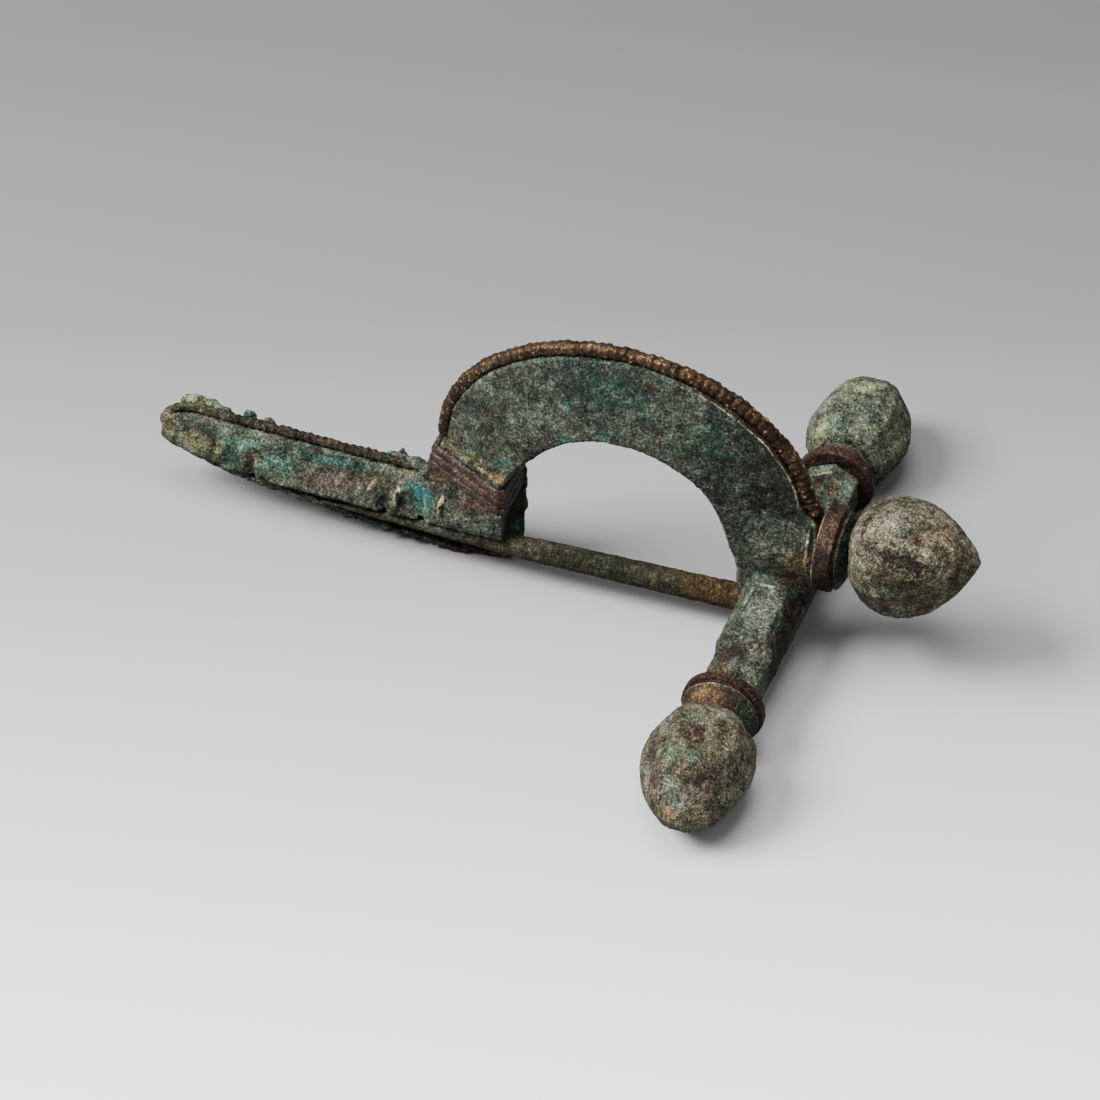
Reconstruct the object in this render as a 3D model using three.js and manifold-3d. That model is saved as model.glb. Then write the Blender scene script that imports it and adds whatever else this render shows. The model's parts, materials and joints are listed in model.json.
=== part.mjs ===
// A late Roman crossbow brooch of cast copper alloy, with onion-shaped knobs and a hinged pin.
// Millimetres. X runs along the brooch from the foot to the head knob, Y along the cross-arm, Z up.
// The brooch lies on its back, as on a table: it touches the table with its two arm knobs and with
// the lowest point of the catch, and the origin is on the table under the middle of the whole.

import * as THREE from "three";
import { ConvexGeometry } from "three/addons/geometries/ConvexGeometry.js";
import { mergeVertices } from "three/addons/utils/BufferGeometryUtils.js";
import Module from "manifold-3d";

const wasm = await Module();
wasm.setup();

// Fits
const SEAM = 0.06; // between pieces that are seated against each other
const SWING = 0.25; // between the pin and what it moves past

// Main sizes, from the middle of the cross-arm: its axis is the height everything is measured from
const BOW_TOP = 24.05; // height of the bow's crest
const ARM_REACH = 17.0; // to the seat of an arm collar
const FOOT_END = -28.1; // to the foot's end face, under the bow
const FOOT_TIP = -66.6;

// Cross-arm, along Y
const ARM_SKEW = THREE.MathUtils.degToRad(-0.45); // it isn't quite square to the foot
const ARM_RADIUS = 3.38; // to the hexagon's corners, at the middle of the brooch
const ARM_END_RADIUS = 3.05; // to the corners at the collar
const ARM_BACK = 2.8; // from the axis down to the flat back of the arm
const PLATE_REACH = 11.4; // raised plates beside the bow, measured from the middle
const PLATE_TOP = 3.8; // from the axis up to their flat tops
const PLATE_HALF_WIDTH = 1.75;
const PLATE_FLANK = 3.03; // half width where a plate's flanks meet the arm
const PLATE_SHOULDER = 1.6; // height up to which the flanks stand upright
const PLATE_SLOPE = 0.5; // run of the sloping end face

// Onion knobs: radius to the ridges, lengths from the widest place to the seat and to the tip, and
// the powers that round the shoulder and draw in the nose: 0.5 is round, less is fuller, more is leaner
const ARM_KNOB = { radius: 5.3, back: 4.8, nose: 8.1, shoulder: 0.38, draw: 0.62 };
const HEAD_KNOB = { radius: 5.9, back: 4.6, nose: 7.8, shoulder: 0.42, draw: 0.84 };
const KNOB_SEAT = 1.9; // radius of the seat on the collar
const KNOB_TIP = 0.997; // where the nose is cut off, as a share of its length
const KNOB_FACETS = 6;
const KNOB_RIDGE = THREE.MathUtils.degToRad(18); // angle that a blunted ridge takes up
const KNOB_FLAT = Math.cos(Math.PI / KNOB_FACETS - KNOB_RIDGE / 2); // facets' distance, for radius 1
const HEAD_KNOB_ROLL = THREE.MathUtils.degToRad(-6);
const HEAD_KNOB_LIFT = THREE.MathUtils.degToRad(12); // it sits crooked on its collar
const NEAR_KNOB_LEAN = THREE.MathUtils.degToRad(3); // and so does this one, towards the head

// Collars between the knobs and the body: a rib towards the body, a groove, and a skirt that slopes
// down to the knob's seat
const ARM_COLLAR = { radius: 4.1, rib: 1.25, skirtRadius: 3.85, skirt: 2.25 };
const HEAD_COLLAR = { radius: 4.25, rib: 1.95, skirtRadius: 3.95, skirt: 0.95 };
const COLLAR_BEVEL = 0.22; // on both edges of the rib
const COLLAR_GROOVE_WIDTH = 0.3;
const COLLAR_GROOVE_DEPTH = 0.4; // below the top of the skirt
const COLLAR_SEAT_RADIUS = 2.8; // of the skirt at the knob
const COLLAR_SIDES = 28;

// Head: the flat seat of the head collar, and the knob's axis above the arm's
const HEAD_SEAT = 3.75;
const HEAD_AXIS = 6.95;
const HEAD_SECTIONS = [ // x and z on the hollow side, x and z on the other, half width there
  [-4.9, 6.1, 2.5, 10.75, 1.1], [-4.6, 5.4, 3.5, 9.9, 1.45], [-4.25, 4.6, HEAD_SEAT, 8.8, 1.95],
  [-4.1, 3.8, HEAD_SEAT, HEAD_AXIS, 2.35], [-4.0, 2.4, HEAD_SEAT, 4.6, 2.5], [-3.6, 0.4, 3.3, 0.4, 2.5],
];

// Bow: an ellipse for the crest and a drawn curve for the hollow side
const BOW_CENTRE = [-16.4, 9.8]; // x and z of the crest's ellipse
const BOW_LENGTH_RADIUS = 18.3;
const BOW_HEIGHT_RADIUS = BOW_TOP - BOW_CENTRE[1];
const BOW_FOOT_ANGLE = THREE.MathUtils.degToRad(184);
const BOW_HEAD_ANGLE = THREE.MathUtils.degToRad(6);
const BOW_CREST_HALF_WIDTH = 0.95;
const BOW_BACK_HALF_WIDTH = 2.85;
const BOW_CHAMFER = 0.45; // on the two long edges of the hollow side
const BOW_STATIONS = 34;
const BOW_HOLLOW = [ // hollow side from the foot to the head, as shares of the crest's two radii
  [-0.639, -0.2], [-0.535, 0.005], [-0.32, 0.272], [-0.104, 0.381], [0.131, 0.379],
  [0.322, 0.294], [0.47, 0.162], [0.568, -0.03], [0.617, -0.215],
];

// Foot: a gable roof with the catch as a channel below it, open towards the near side
const FOOT_HALF_WIDTH = 3.3;
const FOOT_EDGE = 0.4; // height of the roof's long edges above the arm's axis
const FOOT_RIDGE = 3.7; // height of the roof's ridge at the end face
const FOOT_RISE = 0.9; // how much higher the ridge is where the tip begins to round off
const FOOT_TAPER = -52; // from here the roof narrows to the tip
const FOOT_RIDGE_HALF_WIDTH = 0.7;
const FOOT_TIP_NARROWING = 0.42; // how much of the half width is lost on the way to the tip
const FOOT_TIP_RIDGE = 1.6; // height of the ridge above the edges at the very tip
const FOOT_TIP_RISE = 0.9; // how much the edges rise towards the tip
const FOOT_BLUNT = 0.45; // width of the very tip, as a share of the width before it rounds off
const FOOT_EDGE_THICKNESS = 0.55;
const FOOT_EDGE_BEVEL = 0.45; // under the long edges
const FOOT_TIP_ROUND = 4.2; // length of the rounded tip
const CATCH_WALL = 0.95;
const CATCH_LIP = 0.7; // thickness of the turned-in flap
const CATCH_LEAN = 0.15; // how far the wall leans in
const CATCH_ROUND = 0.9; // bevel where the wall turns into the flap
const CATCH_CORNER = 0.4; // fillet inside that turn
const CATCH_SPRING = 0.2; // how far below the roof's edges the vault springs
const CATCH_VAULT = 1.0; // rise of the channel's ceiling above the roof's edges
const CATCH_LOW = -33.6; // where the flap reaches the table
const CATCH_KNEE = [-44.5, -3.0]; // place along X and height of the flap's underside
const CATCH_CLOSE = [-58.5, -0.6]; // where the channel ends
const CATCH_MOUTH_RISE = 0.65; // how far the flap turns up again at the end face
const FOOT_STATIONS = 16;

// Facets cut into the roof's long edges: place along X, half length, reach up the roof
const NOTCH_DEPTH = 0.75;
const NOTCH_CLEAR = 1.5; // how far the cut runs on beyond the foot
const NOTCHES = [
  [-37.0, 1.95, 0.62], [-41.1, 1.3, 0.55], [-55.6, 1.2, 0.5], [-58.6, 1.3, 0.55],
];

// Bands wound round the bow's foot end
const BAND_OUT = 0.34; // how far they stand proud of the bow's flanks
const BAND_CREST_OUT = 0.4; // how much further they stand out beyond the crest
const BAND_RIBS = 3;
const BAND_GROOVE = 0.2;
const BAND_INSET = 0.03; // bare strip above and below them, as a share of the neck
const CREST_FOOT_X = BOW_CENTRE[0] + BOW_LENGTH_RADIUS * Math.cos(BOW_FOOT_ANGLE);
const NECK_HOLLOW_STEP = 0.2; // from the end face back to the neck
const NECK_CREST_STEP = 0.8; // from the crest's end back to the neck's upper line, and on to its lower one
const NECK_HOLLOW_HEIGHTS = [3.0, 6.6]; // of the neck's lower and upper line, on the hollow side
const NECK_CREST_HEIGHTS = [5.6, 8.9]; // and on the crest's side
const NECK_HOLLOW_SIDE = NECK_HOLLOW_HEIGHTS.map((z) => [FOOT_END - NECK_HOLLOW_STEP, z]);
const NECK_CREST_SIDE = NECK_CREST_HEIGHTS.map((z, line) => [CREST_FOOT_X - (2 - line) * NECK_CREST_STEP, z]);
const NECK_SUNK = 0.8; // how far the neck reaches down into the foot, as a share of its height
const ROOT_REACH = 1.5; // length of the swelling below the bands

// Beaded wires on the crest and on the foot's ridge
const CREST_WIRE_RADIUS = 0.72;
const CREST_BEAD = 0.74; // from bead to bead
const CREST_WIRE_LEAVES = THREE.MathUtils.degToRad(9); // here it leaves the crest for the head's shoulder
const CREST_WIRE_END = 0.4; // how far down the shoulder it ends, as a share of the shoulder
const RIDGE_WIRE_RADIUS = 0.62;
const RIDGE_BEAD = 0.78;
const RIDGE_WIRE_GAP = 0.9; // bare ridge between it and the bands
const RIDGE_WIRE_TIP_GAP = 1.1; // and between it and the foot's tip
const BEAD_WAIST = 0.78; // the wire between two beads, as a share of the beads' radius
const WIRE_FLAT = 0.55; // the flattened underside, as a share of the radius

// Pin and its hinge
const PIN_RADIUS = 1.45; // at the hinge
const PIN_CATCH_RADIUS = 1.26; // where it begins to narrow to its point
const PIN_TIP_RADIUS = 0.15;
const PIN_TIP = -48;
const PIN_TAPER = -25;
const PIN_HINGE = [-0.4, -0.9, -1.35]; // the hinge axis, in x and z, and the pin's middle in y
const PIN_SLANT = -0.038; // sideways run for each millimetre of length, towards the near side
const PIN_RISE = 0.009; // upward run for each millimetre of length
const PIN_EYE_RADIUS = 1.48;
const PIN_SIDES = 10;
const PIN_STATIONS = 12;

// The table lies this far below the arm's axis
const TABLE = -ARM_KNOB.radius * KNOB_FLAT;

function solidFrom(geometry) {
  const bare = geometry.clone();
  bare.deleteAttribute("normal");
  bare.deleteAttribute("uv");
  const merged = mergeVertices(bare, 1e-5);
  return new wasm.Manifold(new wasm.Mesh({
    numProp: 3,
    vertProperties: new Float32Array(merged.attributes.position.array),
    triVerts: new Uint32Array(merged.index.array),
  }));
}

function geometryFrom(solid) {
  const mesh = solid.getMesh();
  const geometry = new THREE.BufferGeometry();
  geometry.setAttribute("position", new THREE.BufferAttribute(new Float32Array(mesh.vertProperties), 3));
  geometry.setIndex(new THREE.BufferAttribute(new Uint32Array(mesh.triVerts), 1));
  return geometry;
}

// A closed body through rings of equally many points, all turning the same way.
function loft(rings) {
  const sides = rings[0].length;
  const positions = rings.flat().flatMap((point) => [point.x, point.y, point.z]);
  const index = [];
  for (let ring = 0; ring + 1 < rings.length; ring++) {
    for (let side = 0; side < sides; side++) {
      const a = ring * sides + side;
      const b = ring * sides + ((side + 1) % sides);
      index.push(a, b, a + sides, b, b + sides, a + sides);
    }
  }
  const flat = capTriangles(rings[0]);
  const last = (rings.length - 1) * sides;
  for (const [a, b, c] of flat) index.push(c, b, a);
  for (const [a, b, c] of capTriangles(rings[rings.length - 1])) index.push(last + a, last + b, last + c);
  const geometry = new THREE.BufferGeometry();
  geometry.setAttribute("position", new THREE.Float32BufferAttribute(positions, 3));
  geometry.setIndex(index);
  const solid = solidFrom(geometry);
  return solid.volume() > 0 ? solid : solidFrom(flipped(geometry));
}

// Triangles that close a plane ring, found in the plane's own two directions.
function capTriangles(ring) {
  const centre = ring.reduce((sum, point) => sum.add(point), new THREE.Vector3()).divideScalar(ring.length);
  const normal = new THREE.Vector3();
  ring.forEach((point, i) => {
    const next = ring[(i + 1) % ring.length];
    normal.add(point.clone().sub(centre).cross(next.clone().sub(centre)));
  });
  normal.normalize();
  const across = ring[1].clone().sub(ring[0]).projectOnPlane(normal).normalize();
  const up = normal.clone().cross(across);
  const plane = ring.map((point) => new THREE.Vector2(point.dot(across), point.dot(up)));
  return THREE.ShapeUtils.triangulateShape(plane, []);
}

function flipped(geometry) {
  const turned = geometry.clone();
  const index = Array.from(turned.index.array);
  for (let i = 0; i < index.length; i += 3) [index[i], index[i + 1]] = [index[i + 1], index[i]];
  turned.setIndex(index);
  return turned;
}

function hull(points) {
  return solidFrom(new ConvexGeometry(points));
}

function lerp(a, b, t) {
  return a + (b - a) * t;
}

function steps(count) {
  return Array.from({ length: count + 1 }, (_, i) => i / count);
}

// Onion knob along +X, with its seat at x = 0. Six facets meet in blunted ridges.
function knobSolid({ radius, back, nose, shoulder, draw }, roll) {
  const corners = [];
  for (let facet = 0; facet < KNOB_FACETS; facet++) {
    const ridge = (facet / KNOB_FACETS) * 2 * Math.PI + roll;
    corners.push(ridge - KNOB_RIDGE / 2, ridge + KNOB_RIDGE / 2);
  }
  const ring = (x, size) => corners.map((angle) => new THREE.Vector3(
    x, Math.cos(angle) * size, Math.sin(angle) * size));
  const rings = [];
  for (const t of steps(5).slice(0, -1)) {
    const v = Math.cos((Math.PI / 2) * t);
    rings.push(ring(back * (1 - v), lerp(KNOB_SEAT, radius, Math.pow(1 - v * v, shoulder))));
  }
  for (const t of steps(9)) {
    const u = KNOB_TIP * Math.sin((Math.PI / 2) * t);
    rings.push(ring(back + nose * u, radius * Math.pow(1 - u * u, draw)));
  }
  return loft(rings);
}

// Collar along +X, with its body side at x = 0.
function collarSolid({ radius, rib, skirtRadius, skirt }) {
  const length = rib + skirt;
  const profile = [
    [0, 0], [radius - COLLAR_BEVEL, 0], [radius, COLLAR_BEVEL], [radius, rib - COLLAR_BEVEL],
    [skirtRadius - COLLAR_GROOVE_DEPTH, rib], [skirtRadius, rib + COLLAR_GROOVE_WIDTH],
    [COLLAR_SEAT_RADIUS, length], [0, length],
  ].map(([out, x]) => new THREE.Vector2(out, x));
  const geometry = new THREE.LatheGeometry(profile, COLLAR_SIDES);
  geometry.rotateZ(-Math.PI / 2);
  return solidFrom(geometry);
}

// The crest's ellipse, and the direction that points away from the bow.
function crestPoint(angle, out = 0) {
  const x = BOW_CENTRE[0] + BOW_LENGTH_RADIUS * Math.cos(angle);
  const z = BOW_CENTRE[1] + BOW_HEIGHT_RADIUS * Math.sin(angle);
  const away = new THREE.Vector3(
    Math.cos(angle) / BOW_LENGTH_RADIUS, 0, Math.sin(angle) / BOW_HEIGHT_RADIUS).normalize();
  return new THREE.Vector3(x, 0, z).addScaledVector(away, out);
}

// A section of the bow between a point on its hollow side and one on its crest.
function bowSection(inner, outer, backHalf, crestHalf, grow = 0, growCrest = grow) {
  const along = outer.clone().sub(inner).normalize();
  const low = inner.clone().addScaledVector(along, -grow);
  const high = outer.clone().addScaledVector(along, growCrest);
  const shoulder = inner.clone().addScaledVector(along, BOW_CHAMFER);
  const back = backHalf + grow;
  const crest = crestHalf + grow;
  const place = (base, y) => new THREE.Vector3(base.x, y, base.z);
  return [
    place(low, -back + BOW_CHAMFER), place(shoulder, -back), place(high, -crest),
    place(high, crest), place(shoulder, back), place(low, back - BOW_CHAMFER),
  ];
}

// A section of the neck. It lies on the lower line where t is 0 and on the upper one where t is 1.
function neckSection(t, grow = 0, growCrest = grow) {
  const between = ([[lowX, lowZ], [highX, highZ]]) => new THREE.Vector3(
    lerp(lowX, highX, t), 0, lerp(lowZ, highZ, t));
  const inner = between(NECK_HOLLOW_SIDE);
  const outer = between(NECK_CREST_SIDE);
  return bowSection(inner, outer, BOW_BACK_HALF_WIDTH, BOW_CREST_HALF_WIDTH, grow, growCrest);
}

function bowSolid() {
  const hollow = new THREE.CatmullRomCurve3(BOW_HOLLOW.map(([x, z]) => new THREE.Vector3(
    BOW_CENTRE[0] + x * BOW_LENGTH_RADIUS, 0, BOW_CENTRE[1] + z * BOW_HEIGHT_RADIUS)));
  const rings = [neckSection(-NECK_SUNK), neckSection(0), neckSection(1)];
  for (const t of steps(BOW_STATIONS)) {
    const outer = crestPoint(lerp(BOW_FOOT_ANGLE, BOW_HEAD_ANGLE, t));
    rings.push(bowSection(hollow.getPointAt(t), outer, BOW_BACK_HALF_WIDTH, BOW_CREST_HALF_WIDTH));
  }
  for (const [x, z, outX, outZ, outHalf] of HEAD_SECTIONS) {
    rings.push(bowSection(
      new THREE.Vector3(x, 0, z), new THREE.Vector3(outX, 0, outZ), BOW_BACK_HALF_WIDTH, outHalf));
  }
  return loft(rings);
}

function armSolid() {
  const corners = steps(KNOB_FACETS).slice(0, -1).map((t) => Math.PI / 2 + t * 2 * Math.PI);
  const ring = (y, radius) => corners.map((angle) => new THREE.Vector3(
    radius * Math.cos(angle), y, Math.max(radius * Math.sin(angle), -ARM_BACK - 1)));
  const bar = loft([ring(-ARM_REACH, ARM_END_RADIUS), ring(0, ARM_RADIUS), ring(ARM_REACH, ARM_END_RADIUS)]);
  const back = new THREE.BoxGeometry(4 * ARM_RADIUS, 4 * ARM_REACH, 2 * ARM_RADIUS);
  back.translate(0, 0, -ARM_BACK - ARM_RADIUS);
  const plate = (y) => [
    new THREE.Vector3(-PLATE_FLANK, y, 0), new THREE.Vector3(PLATE_FLANK, y, 0),
    new THREE.Vector3(-PLATE_FLANK, y, PLATE_SHOULDER), new THREE.Vector3(PLATE_FLANK, y, PLATE_SHOULDER),
  ];
  const top = (y) => [-1, 1].map((side) => new THREE.Vector3(side * PLATE_HALF_WIDTH, y, PLATE_TOP));
  const inset = PLATE_REACH - PLATE_SLOPE;
  const plates = hull([...plate(-PLATE_REACH), ...plate(PLATE_REACH), ...top(-inset), ...top(inset)]);
  return bar.add(plates).subtract(solidFrom(back)).rotate([0, 0, THREE.MathUtils.radToDeg(ARM_SKEW)]);
}

// Half width, edge height and ridge height of the roof at a place along X.
function roofAt(x) {
  const rise = THREE.MathUtils.clamp((FOOT_END - x) / (FOOT_END - (FOOT_TIP + FOOT_TIP_ROUND)), 0, 1);
  const narrow = THREE.MathUtils.clamp((FOOT_TAPER - x) / (FOOT_TAPER - FOOT_TIP), 0, 1);
  const round = THREE.MathUtils.clamp((FOOT_TIP + FOOT_TIP_ROUND - x) / FOOT_TIP_ROUND, 0, 1);
  const end = Math.sqrt(Math.max(1 - round * round, 0.04));
  return {
    half: FOOT_HALF_WIDTH * (1 - FOOT_TIP_NARROWING * Math.pow(narrow, 1.5)) * lerp(FOOT_BLUNT, 1, end),
    edge: FOOT_EDGE + FOOT_TIP_RISE * narrow,
    ridge: lerp(FOOT_EDGE + FOOT_TIP_RIDGE, FOOT_RIDGE + FOOT_RISE * rise, end),
  };
}

// Lowest point of the catch at a place along X.
function catchBottom(x) {
  const [kneeX, kneeZ] = CATCH_KNEE;
  const [closeX, closeZ] = CATCH_CLOSE;
  if (x > CATCH_LOW) return lerp(TABLE, TABLE + CATCH_MOUTH_RISE, (x - CATCH_LOW) / (FOOT_END - CATCH_LOW));
  if (x > kneeX) return lerp(TABLE, kneeZ, (CATCH_LOW - x) / (CATCH_LOW - kneeX));
  return lerp(kneeZ, closeZ, (kneeX - x) / (kneeX - closeX));
}

function pinMiddle(x) {
  const run = PIN_HINGE[0] - x;
  return new THREE.Vector3(x, PIN_HINGE[1] + PIN_SLANT * run, PIN_HINGE[2] + PIN_RISE * run);
}

function pinRadius(x) {
  const [hingeX] = PIN_HINGE;
  if (x > PIN_TAPER) return lerp(PIN_RADIUS, PIN_CATCH_RADIUS, (hingeX - x) / (hingeX - PIN_TAPER));
  return lerp(PIN_CATCH_RADIUS, PIN_TIP_RADIUS, (PIN_TAPER - x) / (PIN_TAPER - PIN_TIP));
}

// The flap stops short of the pin's path, so that the pin can leave the catch downwards.
function lipEdge(x) {
  const inside = Math.max(x, PIN_TIP);
  return pinMiddle(inside).y + pinRadius(inside) + SWING;
}

function channelSection(x) {
  const { half, edge, ridge } = roofAt(x);
  const bottom = catchBottom(x);
  const under = edge - FOOT_EDGE_THICKNESS;
  const vault = edge + CATCH_VAULT * (x - CATCH_CLOSE[0]) / (FOOT_END - CATCH_CLOSE[0]);
  const floor = Math.min(bottom + CATCH_LIP, under - CATCH_LEAN);
  const inside = half - CATCH_WALL - CATCH_LEAN;
  const points = [
    [-half + FOOT_EDGE_BEVEL, under], [-half, edge],
    [-FOOT_RIDGE_HALF_WIDTH, ridge], [FOOT_RIDGE_HALF_WIDTH, ridge],
    [half, edge], [half - CATCH_LEAN, bottom + CATCH_ROUND], [half - CATCH_LEAN - CATCH_ROUND, bottom],
    [lipEdge(x), bottom], [lipEdge(x), floor], [inside - CATCH_CORNER, floor], [inside, floor + CATCH_CORNER],
    [half - CATCH_WALL, edge - CATCH_SPRING], [half / 3, vault], [-half / 3, vault],
  ];
  return points.map(([y, z]) => new THREE.Vector3(x, y, z));
}

function tipSection(x) {
  const { half, edge, ridge } = roofAt(x);
  const [closeX, closeZ] = CATCH_CLOSE;
  const keel = lerp(closeZ, edge - CATCH_SPRING, (closeX - x) / (closeX - FOOT_TIP));
  const points = [
    [-half + FOOT_EDGE_BEVEL, Math.min(edge - FOOT_EDGE_THICKNESS, keel + CATCH_SPRING)], [-half, edge],
    [-FOOT_RIDGE_HALF_WIDTH, ridge], [FOOT_RIDGE_HALF_WIDTH, ridge],
    [half, edge], [half - FOOT_EDGE_BEVEL, Math.min(edge - FOOT_EDGE_THICKNESS, keel)],
  ];
  return points.map(([y, z]) => new THREE.Vector3(x, y, z));
}

function notchSolid([x, length, reach], side) {
  const { half, edge, ridge } = roofAt(x);
  const under = edge - FOOT_EDGE_THICKNESS;
  const apexY = lerp(half, FOOT_RIDGE_HALF_WIDTH, reach);
  const apexZ = lerp(edge, ridge, reach);
  const outside = half + NOTCH_CLEAR;
  const corners = [
    [x - length, half, edge], [x + length, half, edge],
    [x - length, outside, edge], [x + length, outside, edge],
    [x, half - NOTCH_DEPTH, under], [x, outside, under],
    [x, apexY, apexZ], [x, apexY + NOTCH_CLEAR, apexZ + NOTCH_CLEAR],
  ];
  return hull(corners.map(([along, out, z]) => new THREE.Vector3(along, side * out, z)));
}

// Swelling of the foot below the bands, where it takes up the bow.
function rootSolid() {
  const [hollowX, hollowZ] = NECK_HOLLOW_SIDE[0];
  const [crestX, crestZ] = NECK_CREST_SIDE[0];
  return hull([-1, 1].flatMap((side) => [
    new THREE.Vector3(FOOT_END, side * FOOT_HALF_WIDTH, FOOT_EDGE),
    new THREE.Vector3(FOOT_END, side * (BOW_BACK_HALF_WIDTH + BAND_OUT), hollowZ + BAND_OUT),
    new THREE.Vector3(hollowX - ROOT_REACH, side * BOW_BACK_HALF_WIDTH, hollowZ + 2 * BAND_OUT),
    new THREE.Vector3(crestX - BAND_OUT, side * BOW_CREST_HALF_WIDTH, crestZ),
    new THREE.Vector3(crestX - BAND_OUT, side * FOOT_HALF_WIDTH, FOOT_EDGE),
  ]));
}

function footSolid() {
  const stations = steps(FOOT_STATIONS).map((t) => lerp(FOOT_END, CATCH_CLOSE[0], t));
  const channel = loft(stations.map(channelSection));
  const roundFrom = FOOT_TIP + FOOT_TIP_ROUND;
  const beyond = steps(2).slice(1).map((t) => lerp(CATCH_CLOSE[0], roundFrom, t));
  const rounded = [0.35, 0.6, 0.8, 0.93, 1].map((t) => lerp(roundFrom, FOOT_TIP, t));
  const tip = loft([...stations.slice(-2), ...beyond, ...rounded].map(tipSection));
  const room = BAND_OUT + SEAM;
  const bandRoom = loft([0, 1].map((t) => neckSection(t, room, room + BAND_CREST_OUT)));
  let foot = channel.add(tip).add(rootSolid()).subtract(bandRoom);
  for (const notch of NOTCHES) {
    for (const side of [-1, 1]) foot = foot.subtract(notchSolid(notch, side));
  }
  return foot;
}

// Room for the pin's eye, open to the foot and downwards.
function slotSolid() {
  const [x, y, z] = PIN_HINGE;
  const reach = PIN_EYE_RADIUS + SWING;
  const bore = new THREE.CylinderGeometry(reach, reach, 2 * reach, 24);
  bore.translate(x, y, z);
  const way = new THREE.BoxGeometry(2 * ARM_RADIUS, 2 * reach, reach + 2 * ARM_RADIUS);
  way.translate(x + reach - ARM_RADIUS, y, z + reach - (reach + 2 * ARM_RADIUS) / 2);
  return solidFrom(bore).add(solidFrom(way));
}

function bodySolid() {
  return bowSolid().add(armSolid()).add(footSolid()).subtract(slotSolid());
}

function bandSolid() {
  const rings = [];
  const stations = BAND_RIBS * 4;
  for (let i = 0; i <= stations; i++) {
    const inGroove = i % 4 === 0 && i > 0 && i < stations;
    const atEnd = i === 0 || i === stations;
    const out = BAND_OUT - (inGroove || atEnd ? BAND_GROOVE : 0);
    rings.push(neckSection(lerp(BAND_INSET, 1 - BAND_INSET, i / stations), out, out + BAND_CREST_OUT));
  }
  const hole = loft([-1, 0, 1, 2].map((t) => neckSection(t, SEAM)));
  return loft(rings).subtract(hole);
}

// Beaded wire along a list of places, each with the direction away from what it lies on.
function wireSolid(places, radius) {
  const lateral = new THREE.Vector3(0, 1, 0);
  const round = steps(6).map((t) => lerp(-Math.PI / 5, Math.PI * 1.2, t));
  return loft(places.map(({ point, away }, i) => {
    const size = radius * (i % 2 ? 1 : BEAD_WAIST);
    const base = -radius * WIRE_FLAT;
    return round.map((angle) => point.clone()
      .addScaledVector(lateral, Math.cos(angle) * size)
      .addScaledVector(away, Math.max(Math.sin(angle) * size, base)));
  }));
}

function crestWire() {
  const from = BOW_FOOT_ANGLE - THREE.MathUtils.degToRad(4);
  const arc = (from - CREST_WIRE_LEAVES) * (BOW_LENGTH_RADIUS + BOW_HEIGHT_RADIUS) / 2;
  const count = 2 * Math.round(arc / CREST_BEAD);
  const lift = SEAM + CREST_WIRE_RADIUS * WIRE_FLAT;
  const places = steps(count).map((t) => {
    const angle = lerp(from, CREST_WIRE_LEAVES, t);
    const point = crestPoint(angle, lift);
    return { point, away: point.clone().sub(crestPoint(angle)).normalize() };
  });
  const [high, low] = HEAD_SECTIONS.map(([, , x, z]) => new THREE.Vector3(x, 0, z));
  const slope = low.clone().sub(high).normalize();
  const away = new THREE.Vector3(-slope.z, 0, slope.x);
  const end = high.clone().lerp(low, CREST_WIRE_END).addScaledVector(away, lift);
  const last = places[places.length - 1];
  const rest = 2 * Math.round(last.point.distanceTo(end) / CREST_BEAD);
  const shoulder = steps(rest).slice(1).map((t) => (
    { point: last.point.clone().lerp(end, t), away: last.away.clone().lerp(away, t).normalize() }));
  return wireSolid([...places, ...shoulder], CREST_WIRE_RADIUS);
}

function ridgeWire() {
  const from = NECK_CREST_SIDE[0][0] - RIDGE_WIRE_GAP;
  const to = FOOT_TIP + RIDGE_WIRE_TIP_GAP;
  const count = 2 * Math.round((from - to) / RIDGE_BEAD);
  const lift = SEAM + RIDGE_WIRE_RADIUS * WIRE_FLAT;
  const away = new THREE.Vector3(0, 0, 1);
  return wireSolid(steps(count).map((t) => {
    const x = lerp(from, to, t);
    return { point: new THREE.Vector3(x, 0, roofAt(x).ridge + lift), away };
  }), RIDGE_WIRE_RADIUS);
}

function pinSolid() {
  const shaft = loft(steps(PIN_STATIONS).map((t) => {
    const x = lerp(PIN_HINGE[0], PIN_TIP, t);
    const { y, z } = pinMiddle(x);
    const radius = pinRadius(x);
    return steps(PIN_SIDES).slice(0, -1).map((turn) => {
      const angle = turn * 2 * Math.PI;
      return new THREE.Vector3(x, y + Math.cos(angle) * radius, z + Math.sin(angle) * radius);
    });
  }));
  const eye = new THREE.CylinderGeometry(PIN_EYE_RADIUS, PIN_EYE_RADIUS, 2 * PIN_EYE_RADIUS, 16);
  eye.translate(...PIN_HINGE);
  return shaft.add(solidFrom(eye));
}

const MATERIALS = {
  patina: { color: 0x4c5a4e, roughness: 0.85, metalness: 0.2 },
  brownWire: { color: 0x5a4536, roughness: 0.5, metalness: 0.6 },
  knob: { color: 0x5b5e50, roughness: 0.85, metalness: 0.2 },
  pin: { color: 0x5e5a48, roughness: 0.8, metalness: 0.3 },
};

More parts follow.
